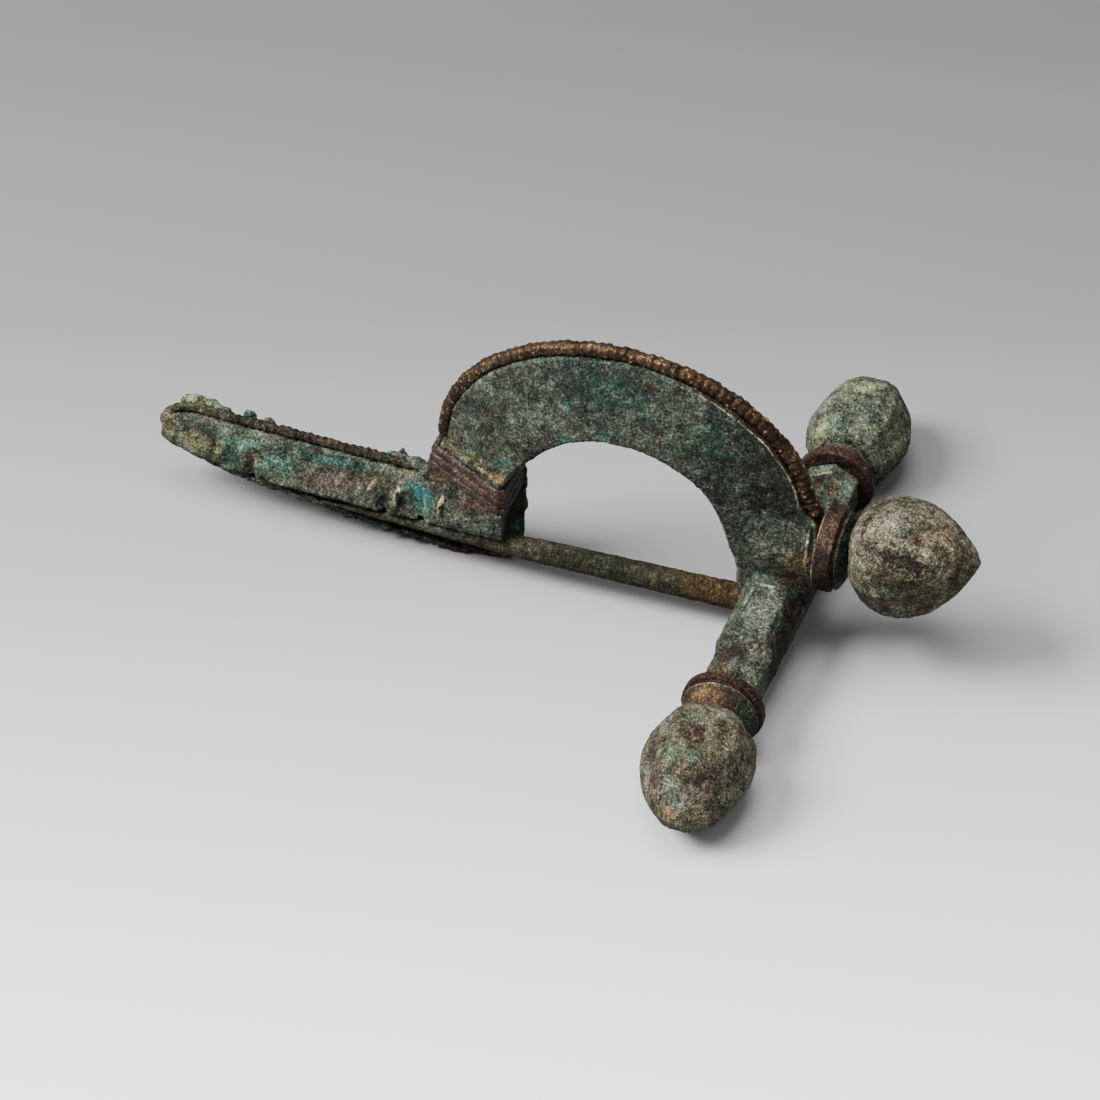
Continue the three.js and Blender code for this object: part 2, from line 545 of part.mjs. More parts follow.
const brooch = new THREE.Group();
brooch.name = "fibula_brooch";
const raised = new THREE.Group();
const knobStep = (tilt) => KNOB_SEAT * Math.sin(tilt) + 2 * SEAM;
const headKnobLength = (HEAD_KNOB.back + HEAD_KNOB.nose) * Math.cos(HEAD_KNOB_LIFT);
const headTip = HEAD_SEAT + HEAD_COLLAR.rib + HEAD_COLLAR.skirt + knobStep(HEAD_KNOB_LIFT) + headKnobLength;
raised.position.set(-(FOOT_TIP + headTip) / 2, 0, -TABLE);
brooch.add(raised);

function place(name, solid, finish, parent = raised) {
  const mesh = new THREE.Mesh(geometryFrom(solid), new THREE.MeshStandardMaterial(MATERIALS[finish]));
  mesh.name = name;
  parent.add(mesh);
  return mesh;
}

place("brooch_body", bodySolid(), "patina");
place("bow_crest_wire", crestWire(), "brownWire");
place("foot_ridge_wire", ridgeWire(), "brownWire");
place("bow_foot_collar", bandSolid(), "brownWire");
place("pin", pinSolid(), "pin");

const arm = new THREE.Group();
arm.rotation.z = ARM_SKEW;
raised.add(arm);
const terminals = [
  {
    side: "head", at: [HEAD_SEAT, 0, HEAD_AXIS], turn: 0, collar: HEAD_COLLAR,
    knob: HEAD_KNOB, roll: HEAD_KNOB_ROLL, lift: HEAD_KNOB_LIFT, lean: 0,
    step: knobStep(HEAD_KNOB_LIFT), carrier: raised,
  },
  ...[["near", -1, NEAR_KNOB_LEAN], ["far", 1, 0]].map(([side, way, lean]) => ({
    side, at: [0, way * ARM_REACH, 0], turn: way * Math.PI / 2, collar: ARM_COLLAR,
    knob: ARM_KNOB, roll: 0, lift: 0, lean, step: knobStep(NEAR_KNOB_LEAN), carrier: arm,
  })),
];
for (const { side, at, turn, collar, knob, roll, lift, lean, step, carrier } of terminals) {
  const terminal = new THREE.Group();
  terminal.position.set(...at);
  terminal.rotation.z = turn;
  carrier.add(terminal);
  place(`${side}_collar`, collarSolid(collar), "brownWire", terminal).position.x = SEAM;
  const onion = place(`${side}_knob`, knobSolid(knob, roll), "knob", terminal);
  onion.position.x = collar.rib + collar.skirt + step;
  onion.rotation.set(0, -lift, lean);
}

export default brooch;
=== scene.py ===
"""Looks of a corroded late Roman crossbow brooch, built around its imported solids.

Every solid is copied, remeshed finely and roughened as old bronze is, and gets a patina made of nodes.
Sizes are in millimetres, and places in millimetres from the middle of the cross-arm (X towards the head
knob, Y along the cross-arm to the far knob, Z up). Meshes are in metres in the frame of the solids.
"""

import json
import logging
import math
from dataclasses import dataclass, field, replace
from enum import Enum

import bpy
from mathutils import Matrix, Vector


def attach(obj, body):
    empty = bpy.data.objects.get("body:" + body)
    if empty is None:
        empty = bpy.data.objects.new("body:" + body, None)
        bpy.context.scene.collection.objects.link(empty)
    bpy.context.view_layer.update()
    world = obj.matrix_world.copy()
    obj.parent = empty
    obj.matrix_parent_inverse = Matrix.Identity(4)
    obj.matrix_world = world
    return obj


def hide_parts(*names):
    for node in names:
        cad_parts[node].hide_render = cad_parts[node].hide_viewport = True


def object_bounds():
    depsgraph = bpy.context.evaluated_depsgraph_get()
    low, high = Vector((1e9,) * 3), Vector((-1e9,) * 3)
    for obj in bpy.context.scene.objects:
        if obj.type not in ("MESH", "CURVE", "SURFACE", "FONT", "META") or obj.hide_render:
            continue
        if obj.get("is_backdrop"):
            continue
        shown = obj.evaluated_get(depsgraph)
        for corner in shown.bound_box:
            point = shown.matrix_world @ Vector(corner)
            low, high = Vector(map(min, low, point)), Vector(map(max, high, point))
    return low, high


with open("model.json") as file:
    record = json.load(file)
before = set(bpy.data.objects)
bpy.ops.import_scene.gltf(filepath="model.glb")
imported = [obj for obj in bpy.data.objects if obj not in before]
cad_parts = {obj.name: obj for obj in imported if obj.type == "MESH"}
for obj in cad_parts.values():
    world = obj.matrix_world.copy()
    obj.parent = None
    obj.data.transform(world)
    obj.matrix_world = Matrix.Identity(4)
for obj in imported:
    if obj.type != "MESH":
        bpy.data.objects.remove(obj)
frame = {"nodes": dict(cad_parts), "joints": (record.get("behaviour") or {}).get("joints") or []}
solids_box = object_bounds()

MM = 0.001  # metres in a millimetre
HINGE = (-0.4, -0.9, -1.35)  # the pin's, from the middle of the cross-arm
CREST_CENTRE = (-16.4, 9.8)  # of the bow's crest, along X and Z
CREST_RADII = (18.3, 14.25)
RIGHT_THROUGH = 60.0  # radius along Y that makes an ellipsoid a tube through the brooch
DOUBLED_WITHIN = 0.001  # distance at which corners are merged
SMOOTHING = 0.5  # how far one smoothing moves a corner towards its neighbours

Place = tuple[float, float, float]
Colour = tuple[float, float, float]

log = logging.getLogger("crossbow brooch")


def arm_middle() -> Vector:
    """Middle of the cross-arm in metres, found from the pin's hinge: every place is measured from it."""
    return Vector(frame["joints"][0]["pos_m"]) - Vector(HINGE) * MM


ORIGIN = arm_middle()


def at(place: Place) -> Vector:
    """Metres in the frame of the solids for a place in millimetres from the middle of the cross-arm."""
    return ORIGIN + Vector(place) * MM


class Body(Enum):
    """Parts of the brooch that move as one."""

    BROOCH = "brooch"
    PIN = "pin"


class Slot(Enum):
    """Material slots of the record."""

    PATINA = "patina"
    WIRE = "brown_wire"
    KNOB = "knob_patina"
    PIN = "pin_metal"


@dataclass(frozen=True)
class Roughening:
    """One layer of cloudy roughness pressed into a surface.

    Attributes:
        size: Distance between its humps, in millimetres.
        depth: Height from its hollows to its humps, in millimetres.
        level: Share of the height that stays below the old surface.
        zone: Name of the vertex group that the layer is kept to, or empty for the whole piece.
    """

    size: float
    depth: float
    level: float = 0.52
    zone: str = ""


LUMP_CRUST = Roughening(0.8, 0.9, 0.5)


@dataclass(frozen=True)
class Lump:
    """A lump of corrosion that sits on a piece.

    Attributes:
        place: Its middle, in millimetres from the middle of the cross-arm.
        radii: Its half lengths along X, Y and Z, in millimetres.
        turn: Angle that it is turned about Z, in degrees.
    """

    place: Place
    radii: Place
    turn: float = 0.0


def deselect_all() -> None:
    """Leaves nothing selected, so that the next operator acts on its own object alone."""
    if bpy.context.object and bpy.context.object.mode != "OBJECT":
        bpy.ops.object.mode_set(mode="OBJECT")
    bpy.ops.object.select_all(action="DESELECT")


def make_active(piece: bpy.types.Object) -> None:
    """Selects one object alone and makes it active."""
    deselect_all()
    piece.select_set(True)
    bpy.context.view_layer.objects.active = piece


def apply_modifier(piece: bpy.types.Object, kind: str, **settings: object) -> None:
    """Adds a modifier, sets it and applies it.

    Args:
        piece: Object that gets the modifier.
        kind: Blender's name of the modifier.
        **settings: Values for the modifier's own properties.
    """
    make_active(piece)
    modifier = piece.modifiers.new(kind.lower(), kind)
    for name, value in settings.items():
        setattr(modifier, name, value)
    bpy.ops.object.modifier_apply(modifier=modifier.name)


def roughen(piece: bpy.types.Object, layers: tuple[Roughening, ...]) -> None:
    """Presses layers of roughness into a piece, one after the other."""
    for layer in layers:
        texture = bpy.data.textures.new(f"clouds {layer.size:g}", "CLOUDS")
        texture.noise_scale = layer.size * MM
        texture.noise_depth = 3
        apply_modifier(
            piece, "DISPLACE", texture=texture, texture_coords="LOCAL",
            strength=layer.depth * MM, mid_level=layer.level, vertex_group=layer.zone)


def mark_zone(piece: bpy.types.Object, name: str, low: Place, high: Place) -> None:
    """Puts the part of a piece that lies in a box into a vertex group.

    Args:
        piece: Object that gets the group.
        name: Name of the group.
        low: Lowest corner of the box.
        high: Highest corner of the box.
    """
    bottom, top = at(low), at(high)
    group = piece.vertex_groups.new(name=name)
    inside = [
        vertex.index for vertex in piece.data.vertices
        if all(bottom[axis] < vertex.co[axis] < top[axis] for axis in range(3))]
    group.add(inside, 1.0, "REPLACE")


def copy_of(node: str, name: str) -> bpy.types.Object:
    """A separate copy of a solid, with its doubled corners merged.

    Args:
        node: Name of the solid.
        name: Name of the copy.

    Returns:
        The new object, in the scene and selected.
    """
    piece = bpy.data.objects.new(name, frame["nodes"][node].data.copy())
    bpy.context.collection.objects.link(piece)
    make_active(piece)
    bpy.ops.object.mode_set(mode="EDIT")
    bpy.ops.mesh.select_all(action="SELECT")
    bpy.ops.mesh.remove_doubles(threshold=DOUBLED_WITHIN * MM)
    bpy.ops.object.mode_set(mode="OBJECT")
    return piece


def lump_of(lump: Lump) -> bpy.types.Object:
    """A rough closed lump at its place."""
    deselect_all()
    bpy.ops.mesh.primitive_ico_sphere_add(subdivisions=4, radius=MM)
    piece = bpy.context.object
    turn = Matrix.Rotation(math.radians(lump.turn), 4, "Z")
    piece.data.transform(Matrix.Translation(at(lump.place)) @ turn @ Matrix.Diagonal((*lump.radii, 1)))
    roughen(piece, (LUMP_CRUST,))
    return piece


def joined(piece: bpy.types.Object, others: list[bpy.types.Object]) -> bpy.types.Object:
    """One object that holds a piece and others that are to grow into it."""
    make_active(piece)
    for other in others:
        other.select_set(True)
    bpy.ops.object.join()
    return piece


def finished(
    piece: bpy.types.Object, node: str, body: Body, slot: Slot, material: bpy.types.Material
) -> bpy.types.Object:
    """Gives a piece its material and its body, and hides the solid that it stands for.

    Args:
        piece: The finished mesh.
        node: Solid that it stands for.
        body: Body that it moves with.
        slot: Material slot of the record; not used.
        material: Its finish.

    Returns:
        The same piece.
    """
    make_active(piece)
    bpy.ops.object.shade_smooth()
    piece.data.materials.clear()
    piece.data.materials.append(material)
    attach(piece, body.value)
    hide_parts(node)
    log.info("%s: %d faces", piece.name, len(piece.data.polygons))
    return piece


@dataclass(frozen=True)
class Cloud:
    """Cloudy noise around 0.5.

    Attributes:
        size: Distance between its humps, in millimetres or in grains of a patina.
        detail: Number of finer layers.
        shift: Slides the pattern, so that no two noises are alike.
        rough: Strength of the finer layers.
    """

    size: float
    detail: float
    shift: float
    rough: float


@dataclass(frozen=True)
class Edge:
    """Values at which a noise turns into patches. A share from 0 to 1 sets how much they cover.

    Attributes:
        bare: Value of the noise at which patches begin when the share is 0.
        gain: How much lower they begin when it is 1.
        width: How much higher than that they are full.
        cover: How much a full patch hides of what is below it.
    """

    bare: float
    gain: float
    width: float
    cover: float = 1.0


@dataclass(frozen=True)
class Span:
    """Values between which something fades in, or out if the first is the higher one."""

    start: float
    end: float


# Noises with sizes in millimetres
DRIFT_CLOUDS = Cloud(4.5, 4.0, 1.0, 0.6)
GREEN_CLOUDS = Cloud(2.2, 5.0, 7.0, 0.75)
WARM_CLOUDS = Cloud(1.8, 5.0, 9.0, 0.75)
CLUSTERS = Cloud(1.3, 4.0, 5.0, 0.65)
FRAYING = Cloud(0.9, 5.0, 3.0, 0.8)
SPECKLES = Cloud(0.45, 3.0, 13.0, 0.8)

# Noises with sizes in grains of a patina
GRAINS = Cloud(1.0, 3.0, 11.0, 0.8)
PALE_GRAINS = Cloud(0.8, 2.0, 29.0, 0.7)
PITS = Cloud(1.5, 3.0, 17.0, 0.75)
COARSE_RELIEF = Cloud(3.0, 4.0, 23.0, 0.7)

CLOUD_EDGE = Edge(0.66, 0.26, 0.1)
PALE_EDGE = Edge(0.72, 0.2, 0.14, 0.75)
PIT_EDGE = Edge(0.68, 0.2, 0.12, 0.88)

DRIFTING = Span(0.4, 0.6)  # noise at which one main colour gives way to the other
# Painted shade: a patina's colour darkens below these upward shares of the normal, down to its shade on
# what looks down.
LIT_SLOPES = Span(-0.5, 0.95)  # upward share of the normal where shade ends
CLUSTERING = 0.6  # how strongly light and dark grains gather in clusters
CLUSTER_TONE = 0.6  # how much of that the tone between them follows
DIRT_IN_HOLLOWS = 1.2
DULLNESS_SPAN = Span(0.35, 0.65)  # noise over which the grains grow less dull
DULLNESS_SWING = 0.1
COARSE_DEPTH = 2.0  # of the coarse relief, as a multiple of the fine one

STAIN_FADE = Span(0.3, 1.6)  # shares of a stain's radii between which it breaks up
STAIN_GAIN = 0.32  # lift of the speckles in the middle of a full stain
STAIN_LOSS = -0.4  # and outside of it
SPECKLE_SPAN = Span(0.44, 0.7)
THINNEST_STAIN = 0.45  # what a speckle hides in a stain of no cover
COVER_GAIN = 0.5  # and how much more it hides in a full one

# The pale line beside the crest wire. It is measured in rings round the crest's centre, with the crest as 1
CREASE_RING = 0.984
CREASE_FADE = Span(0.001, 0.006)
CREASE_STRAY = 0.03
CREASE_GAPS = Span(0.37, 0.52)
CREASE_ALONG = Span(-13.0, -7.0)
CREASE_ABOVE = Span(11.3, 12.3)
CREASE_NEAR_SIDE = Span(-0.3, -0.5)
WIRE_SHADE_RINGS = Span(0.985, 0.99)
WIRE_SHADE_COVER = 0.9


@dataclass(frozen=True)
class StainAndPaintedLight:
    """A patch of one colour on a patina: mostly a stain, in a few places painted shade, and once partly a
    painted highlight.

    Attributes:
        middle: Its middle.
        radii: Its half lengths along X, Y and Z.
        colour: Its colour.
        cover: How much of the patina it hides, from 0 to 1.
        turn: Angle that it is turned about Y, in degrees.
        ragged: How far its edge strays, as a share of its radii.
    """

    middle: Place
    radii: Place
    colour: Colour
    cover: float = 0.8
    turn: float = 0.0
    ragged: float = 2.6


class Nodes:
    """Builds the nodes of one material. Coordinates are millimetres from the middle of the cross-arm."""

    def __init__(self, name: str) -> None:
        """Starts a material with a Principled shader and its coordinates."""
        self.material = bpy.data.materials.new(name)
        self.material.use_nodes = True
        self.tree = self.material.node_tree
        self.shader = self.tree.nodes["Principled BSDF"]
        self.geometry = self.tree.nodes.new("ShaderNodeNewGeometry")
        coordinates = self.tree.nodes.new("ShaderNodeTexCoord")
        scaled = self.tree.nodes.new("ShaderNodeMapping")
        scaled.vector_type = "POINT"
        scaled.inputs["Location"].default_value = -ORIGIN / MM
        scaled.inputs["Scale"].default_value = (1 / MM,) * 3
        self.link(coordinates.outputs["Object"], scaled.inputs["Vector"])
        self.place = scaled.outputs["Vector"]

    def link(self, output: bpy.types.NodeSocket, target: bpy.types.NodeSocket) -> None:
        """Joins an output to an input."""
        self.tree.links.new(output, target)

    def feed(self, target: bpy.types.NodeSocket, value: object) -> None:
        """Gives an input a socket's output or a plain value."""
        if isinstance(value, bpy.types.NodeSocket):
            self.link(value, target)
        elif target.type == "RGBA" and len(value) == 3:
            target.default_value = (*value, 1.0)
        else:
            target.default_value = value

    def noise(self, cloud: Cloud, unit: float = 1.0) -> bpy.types.NodeSocket:
        """Value of a cloudy noise, whose size is in units of so many millimetres."""
        node = self.tree.nodes.new("ShaderNodeTexNoise")
        node.noise_dimensions = "4D"
        node.inputs["W"].default_value = cloud.shift
        node.inputs["Scale"].default_value = 1 / (cloud.size * unit)
        node.inputs["Detail"].default_value = cloud.detail
        node.inputs["Roughness"].default_value = cloud.rough
        self.link(self.place, node.inputs["Vector"])
        return node.outputs["Fac"]

    def step(
        self, value: object, span: Span, first: float = 0.0, last: float = 1.0
    ) -> bpy.types.NodeSocket:
        """A smooth change from the first number to the last while a value goes through a span."""
        node = self.tree.nodes.new("ShaderNodeMapRange")
        node.interpolation_type = "SMOOTHSTEP"
        node.inputs["From Min"].default_value = span.start
        node.inputs["From Max"].default_value = span.end
        node.inputs["To Min"].default_value = first
        node.inputs["To Max"].default_value = last
        self.feed(node.inputs["Value"], value)
        return node.outputs["Result"]

    def beyond(self, value: object, edge: Edge, share: float) -> bpy.types.NodeSocket:
        """Mask of the patches that a noise makes at an edge, over a share of the surface."""
        start = edge.bare - edge.gain * share
        return self.step(value, Span(start, start + edge.width), 0.0, edge.cover)

    def math(self, operation: str, a: object, b: object = 0.0) -> bpy.types.NodeSocket:
        """One sum of two values."""
        node = self.tree.nodes.new("ShaderNodeMath")
        node.operation = operation
        self.feed(node.inputs[0], a)
        self.feed(node.inputs[1], b)
        return node.outputs["Value"]

    def swing(self, value: object, strength: object) -> bpy.types.NodeSocket:
        """A value around 0.5 turned into one around 0, made stronger or weaker."""
        return self.math("MULTIPLY", self.math("SUBTRACT", value, 0.5), strength)

    def axis(self, name: str, vector: object = None) -> bpy.types.NodeSocket:
        """One coordinate of the place, or of another vector."""
        node = self.tree.nodes.new("ShaderNodeSeparateXYZ")
        self.link(self.place if vector is None else vector, node.inputs["Vector"])
        return node.outputs[name]

    def mix(self, below: object, above: object, share: object) -> bpy.types.NodeSocket:
        """Colour that goes from one to another."""
        node = self.tree.nodes.new("ShaderNodeMix")
        node.data_type = "RGBA"
        self.feed(node.inputs["Factor"], share)
        self.feed(node.inputs[6], below)
        self.feed(node.inputs[7], above)
        return node.outputs[2]

    def scaled(self, colour: object, factor: object) -> bpy.types.NodeSocket:
        """Colour made lighter or darker by a factor."""
        node = self.tree.nodes.new("ShaderNodeVectorMath")
        node.operation = "SCALE"
        self.feed(node.inputs[0], colour)
        self.feed(node.inputs["Scale"], factor)
        return node.outputs["Vector"]

    def away(self, middle: Place, radii: Place, turn: float = 0.0) -> bpy.types.NodeSocket:
        """Distance from the middle of an ellipsoid, which is 1 on its skin.

        Args:
            middle: Middle of the ellipsoid.
            radii: Its half lengths.
            turn: Angle that it is turned about Y, in degrees.

        Returns:
            The distance.
        """
        shift = self.tree.nodes.new("ShaderNodeMapping")
        shift.vector_type = "TEXTURE"
        shift.inputs["Location"].default_value = middle
        shift.inputs["Rotation"].default_value = (0, math.radians(turn), 0)
        shift.inputs["Scale"].default_value = radii
        self.link(self.place, shift.inputs["Vector"])
        length = self.tree.nodes.new("ShaderNodeVectorMath")
        length.operation = "LENGTH"
        self.link(shift.outputs["Vector"], length.inputs[0])
        return length.outputs["Value"]

    def patch(self, stain: StainAndPaintedLight, ragged: object, speckle: object) -> bpy.types.NodeSocket:
        """Mask of a stain that breaks up into speckles towards its ragged edge.

        Args:
            stain: The stain.
            ragged: Noise around 0.5 that shifts the edge.
            speckle: Fine noise around 0.5 that breaks it up.

        Returns:
            The mask, from 0 to 1.
        """
        shift = self.swing(ragged, stain.ragged)
        edge = self.math("ADD", self.away(stain.middle, stain.radii, stain.turn), shift)
        reach = self.step(edge, STAIN_FADE, STAIN_GAIN * stain.cover, STAIN_LOSS)
        cover = THINNEST_STAIN + COVER_GAIN * stain.cover
        return self.step(self.math("ADD", speckle, reach), SPECKLE_SPAN, 0.0, cover)

    def bump(self, height: object, depth: float, below: object = None) -> bpy.types.NodeSocket:
        """Fine relief of a depth in millimetres."""
        node = self.tree.nodes.new("ShaderNodeBump")
        node.inputs["Strength"].default_value = 1.0
        node.inputs["Distance"].default_value = depth * MM
        self.feed(node.inputs["Height"], height)
        if below is not None:
            self.link(below, node.inputs["Normal"])
        return node.outputs["Normal"]


@dataclass(frozen=True)
class Patina:
    """Corroded bronze: clouds of colour and stains under fine grains, pale on humps and dark in hollows.

    Attributes:
        name: Name of the material.
        tone: Main colour.
        drift: Colour that it drifts to in broad clouds.
        green: Colour of the greener clouds.
        warm: Colour of the browner clouds.
        light: Colour of light grains and of humps rubbed pale; on the beaded wire it is also the painted
            highlight on the beads' crowns.
        dark: Colour of dark pits.
        light_share: How much of the surface the light grains cover.
        dark_share: How much of it the dark pits cover.
        green_share: How much of it is greener.
        warm_share: How much of it is browner.
        contrast: Strength of the grains.
        shade: Painted shade: brightness of what looks down, as a share of what looks up.
        roughness: Dullness of the surface, from 0 for a mirror to 1.
        gloss: Strength of its reflections, where 0.5 is that of glass.
        metallic: Share of bare metal.
        grain: Size of the grains, in millimetres.
        relief: Depth of the fine relief, in millimetres.
        wear_and_highlight: How strongly humps are paler: wear on edges, and on the beaded wire a painted
            highlight on the beads' crowns.
        stains: Patches of other colours.
        crease: Colour of the line beside the crest wire, or none.
    """

    name: str
    tone: Colour
    drift: Colour
    green: Colour
    warm: Colour
    light: Colour
    dark: Colour
    light_share: float = 0.5
    dark_share: float = 0.5
    green_share: float = 0.4
    warm_share: float = 0.3
    contrast: float = 13.0
    shade: float = 0.6
    roughness: float = 0.85
    gloss: float = 0.1
    metallic: float = 0.0
    grain: float = 0.21
    relief: float = 0.12
    wear_and_highlight: float = 0.8
    stains: tuple[StainAndPaintedLight, ...] = ()
    crease: Colour | None = None

    def clouds(self, nodes: Nodes) -> bpy.types.NodeSocket:
        """Broad clouds of the patina's colours."""
        colour = nodes.mix(self.tone, self.drift, nodes.step(nodes.noise(DRIFT_CLOUDS), DRIFTING))
        green = nodes.beyond(nodes.noise(GREEN_CLOUDS), CLOUD_EDGE, self.green_share)
        colour = nodes.mix(colour, self.green, green)
        warm = nodes.beyond(nodes.noise(WARM_CLOUDS), CLOUD_EDGE, self.warm_share)
        return nodes.mix(colour, self.warm, warm)

    def stained(self, nodes: Nodes, colour: object) -> bpy.types.NodeSocket:
        """The colour with its stains, and with the line beside the crest wire."""
        ragged = nodes.noise(FRAYING)
        speckle = nodes.noise(SPECKLES)
        for stain in self.stains:
            colour = nodes.mix(colour, stain.colour, nodes.patch(stain, ragged, speckle))
        if self.crease:
            colour = self.creased(nodes, colour, ragged, speckle)
        return colour

    def creased(
        self, nodes: Nodes, colour: object, ragged: object, speckle: object
    ) -> bpy.types.NodeSocket:
        """The colour with the pale line beside the crest wire, and the wire's shade above that line.

        Args:
            nodes: The material's nodes.
            colour: Colour below the line.
            ragged: Noise around 0.5 that makes the line stray.
            speckle: Fine noise around 0.5 that breaks it up.

        Returns:
            The new colour.
        """
        middle = (CREST_CENTRE[0], 0.0, CREST_CENTRE[1])
        ring = nodes.away(middle, (CREST_RADII[0], RIGHT_THROUGH, CREST_RADII[1]))
        ring = nodes.math("ADD", ring, nodes.swing(ragged, CREASE_STRAY))
        here = nodes.step(nodes.axis("X"), CREASE_ALONG)
        here = nodes.math("MULTIPLY", here, nodes.step(nodes.axis("Z"), CREASE_ABOVE))
        here = nodes.math("MULTIPLY", here, nodes.step(nodes.axis("Y"), CREASE_NEAR_SIDE))
        shade = nodes.math("MULTIPLY", nodes.step(ring, WIRE_SHADE_RINGS), here)
        colour = nodes.mix(colour, WIRE_SHADE, nodes.math("MULTIPLY", shade, WIRE_SHADE_COVER))
        off = nodes.math("ABSOLUTE", nodes.math("SUBTRACT", ring, CREASE_RING))
        line = nodes.math("MULTIPLY", nodes.step(off, CREASE_FADE, 1.0, 0.0), here)
        line = nodes.math("MULTIPLY", line, nodes.step(speckle, CREASE_GAPS))
        return nodes.mix(colour, self.crease, line)

    def grained(
        self, nodes: Nodes, colour: object, grains: object, clusters: object
    ) -> bpy.types.NodeSocket:
        """The colour with its grains: pale ones on humps, and dark pits in hollows.

        Args:
            nodes: The material's nodes.
            colour: Colour below the grains.
            grains: Fine noise around 0.5.
            clusters: Broader noise around 0 that gathers them.

        Returns:
            The new colour.
        """
        tone = nodes.math("ADD", grains, nodes.math("MULTIPLY", clusters, CLUSTER_TONE))
        colour = nodes.scaled(colour, nodes.math("POWER", 2.0, nodes.swing(tone, self.contrast)))
        humps = nodes.geometry.outputs["Pointiness"]
        pale = nodes.math("ADD", nodes.noise(PALE_GRAINS, self.grain), clusters)
        # Humps grow paler: edge wear, and on the beaded wire a painted highlight on each bead's crown.
        pale = nodes.math("ADD", pale, nodes.swing(humps, self.wear_and_highlight))
        colour = nodes.mix(colour, self.light, nodes.beyond(pale, PALE_EDGE, self.light_share))
        pits = nodes.math("SUBTRACT", nodes.noise(PITS, self.grain), clusters)
        pits = nodes.math("SUBTRACT", pits, nodes.swing(humps, DIRT_IN_HOLLOWS))
        return nodes.mix(colour, self.dark, nodes.beyond(pits, PIT_EDGE, self.dark_share))

    def material(self) -> bpy.types.Material:
        """Builds the material."""
        nodes = Nodes(self.name)
        inputs = nodes.shader.inputs
        colour = self.stained(nodes, self.clouds(nodes))
        upward = nodes.axis("Z", nodes.geometry.outputs["Normal"])
        # Painted shade: the colour is darkened on surfaces that look sideways or down.
        colour = nodes.scaled(colour, nodes.step(upward, LIT_SLOPES, self.shade, 1.0))
        grains = nodes.noise(GRAINS, self.grain)
        clusters = nodes.swing(nodes.noise(CLUSTERS), CLUSTERING)
        nodes.feed(inputs["Base Color"], self.grained(nodes, colour, grains, clusters))
        dullest, least_dull = self.roughness + DULLNESS_SWING, self.roughness - DULLNESS_SWING
        nodes.feed(inputs["Roughness"], nodes.step(grains, DULLNESS_SPAN, dullest, least_dull))
        inputs["Metallic"].default_value = self.metallic
        inputs["Specular IOR Level"].default_value = self.gloss
        coarse = nodes.bump(nodes.noise(COARSE_RELIEF, self.grain), COARSE_DEPTH * self.relief)
        nodes.feed(inputs["Normal"], nodes.bump(grains, self.relief, coarse))
        return nodes.material


OCHRE = (0.15, 0.1, 0.042)
CREAM = (0.26, 0.22, 0.125)
TEAL = (0.016, 0.06, 0.045)
BLUE_TEAL = (0.014, 0.06, 0.062)
TURQUOISE = (0.045, 0.115, 0.082)
YELLOW_GREEN = (0.13, 0.155, 0.058)
PALE_GREEN = (0.105, 0.112, 0.082)
GREY_GREEN = (0.07, 0.078, 0.056)
PINK_BROWN = (0.07, 0.046, 0.036)
BROWN_RED = (0.032, 0.013, 0.009)
BLACK_BROWN = (0.006, 0.004, 0.003)
DARK_GREEN = (0.01, 0.022, 0.012)
OLIVE = (0.07, 0.07, 0.034)
WIRE_SHADE = (0.022, 0.011, 0.007)

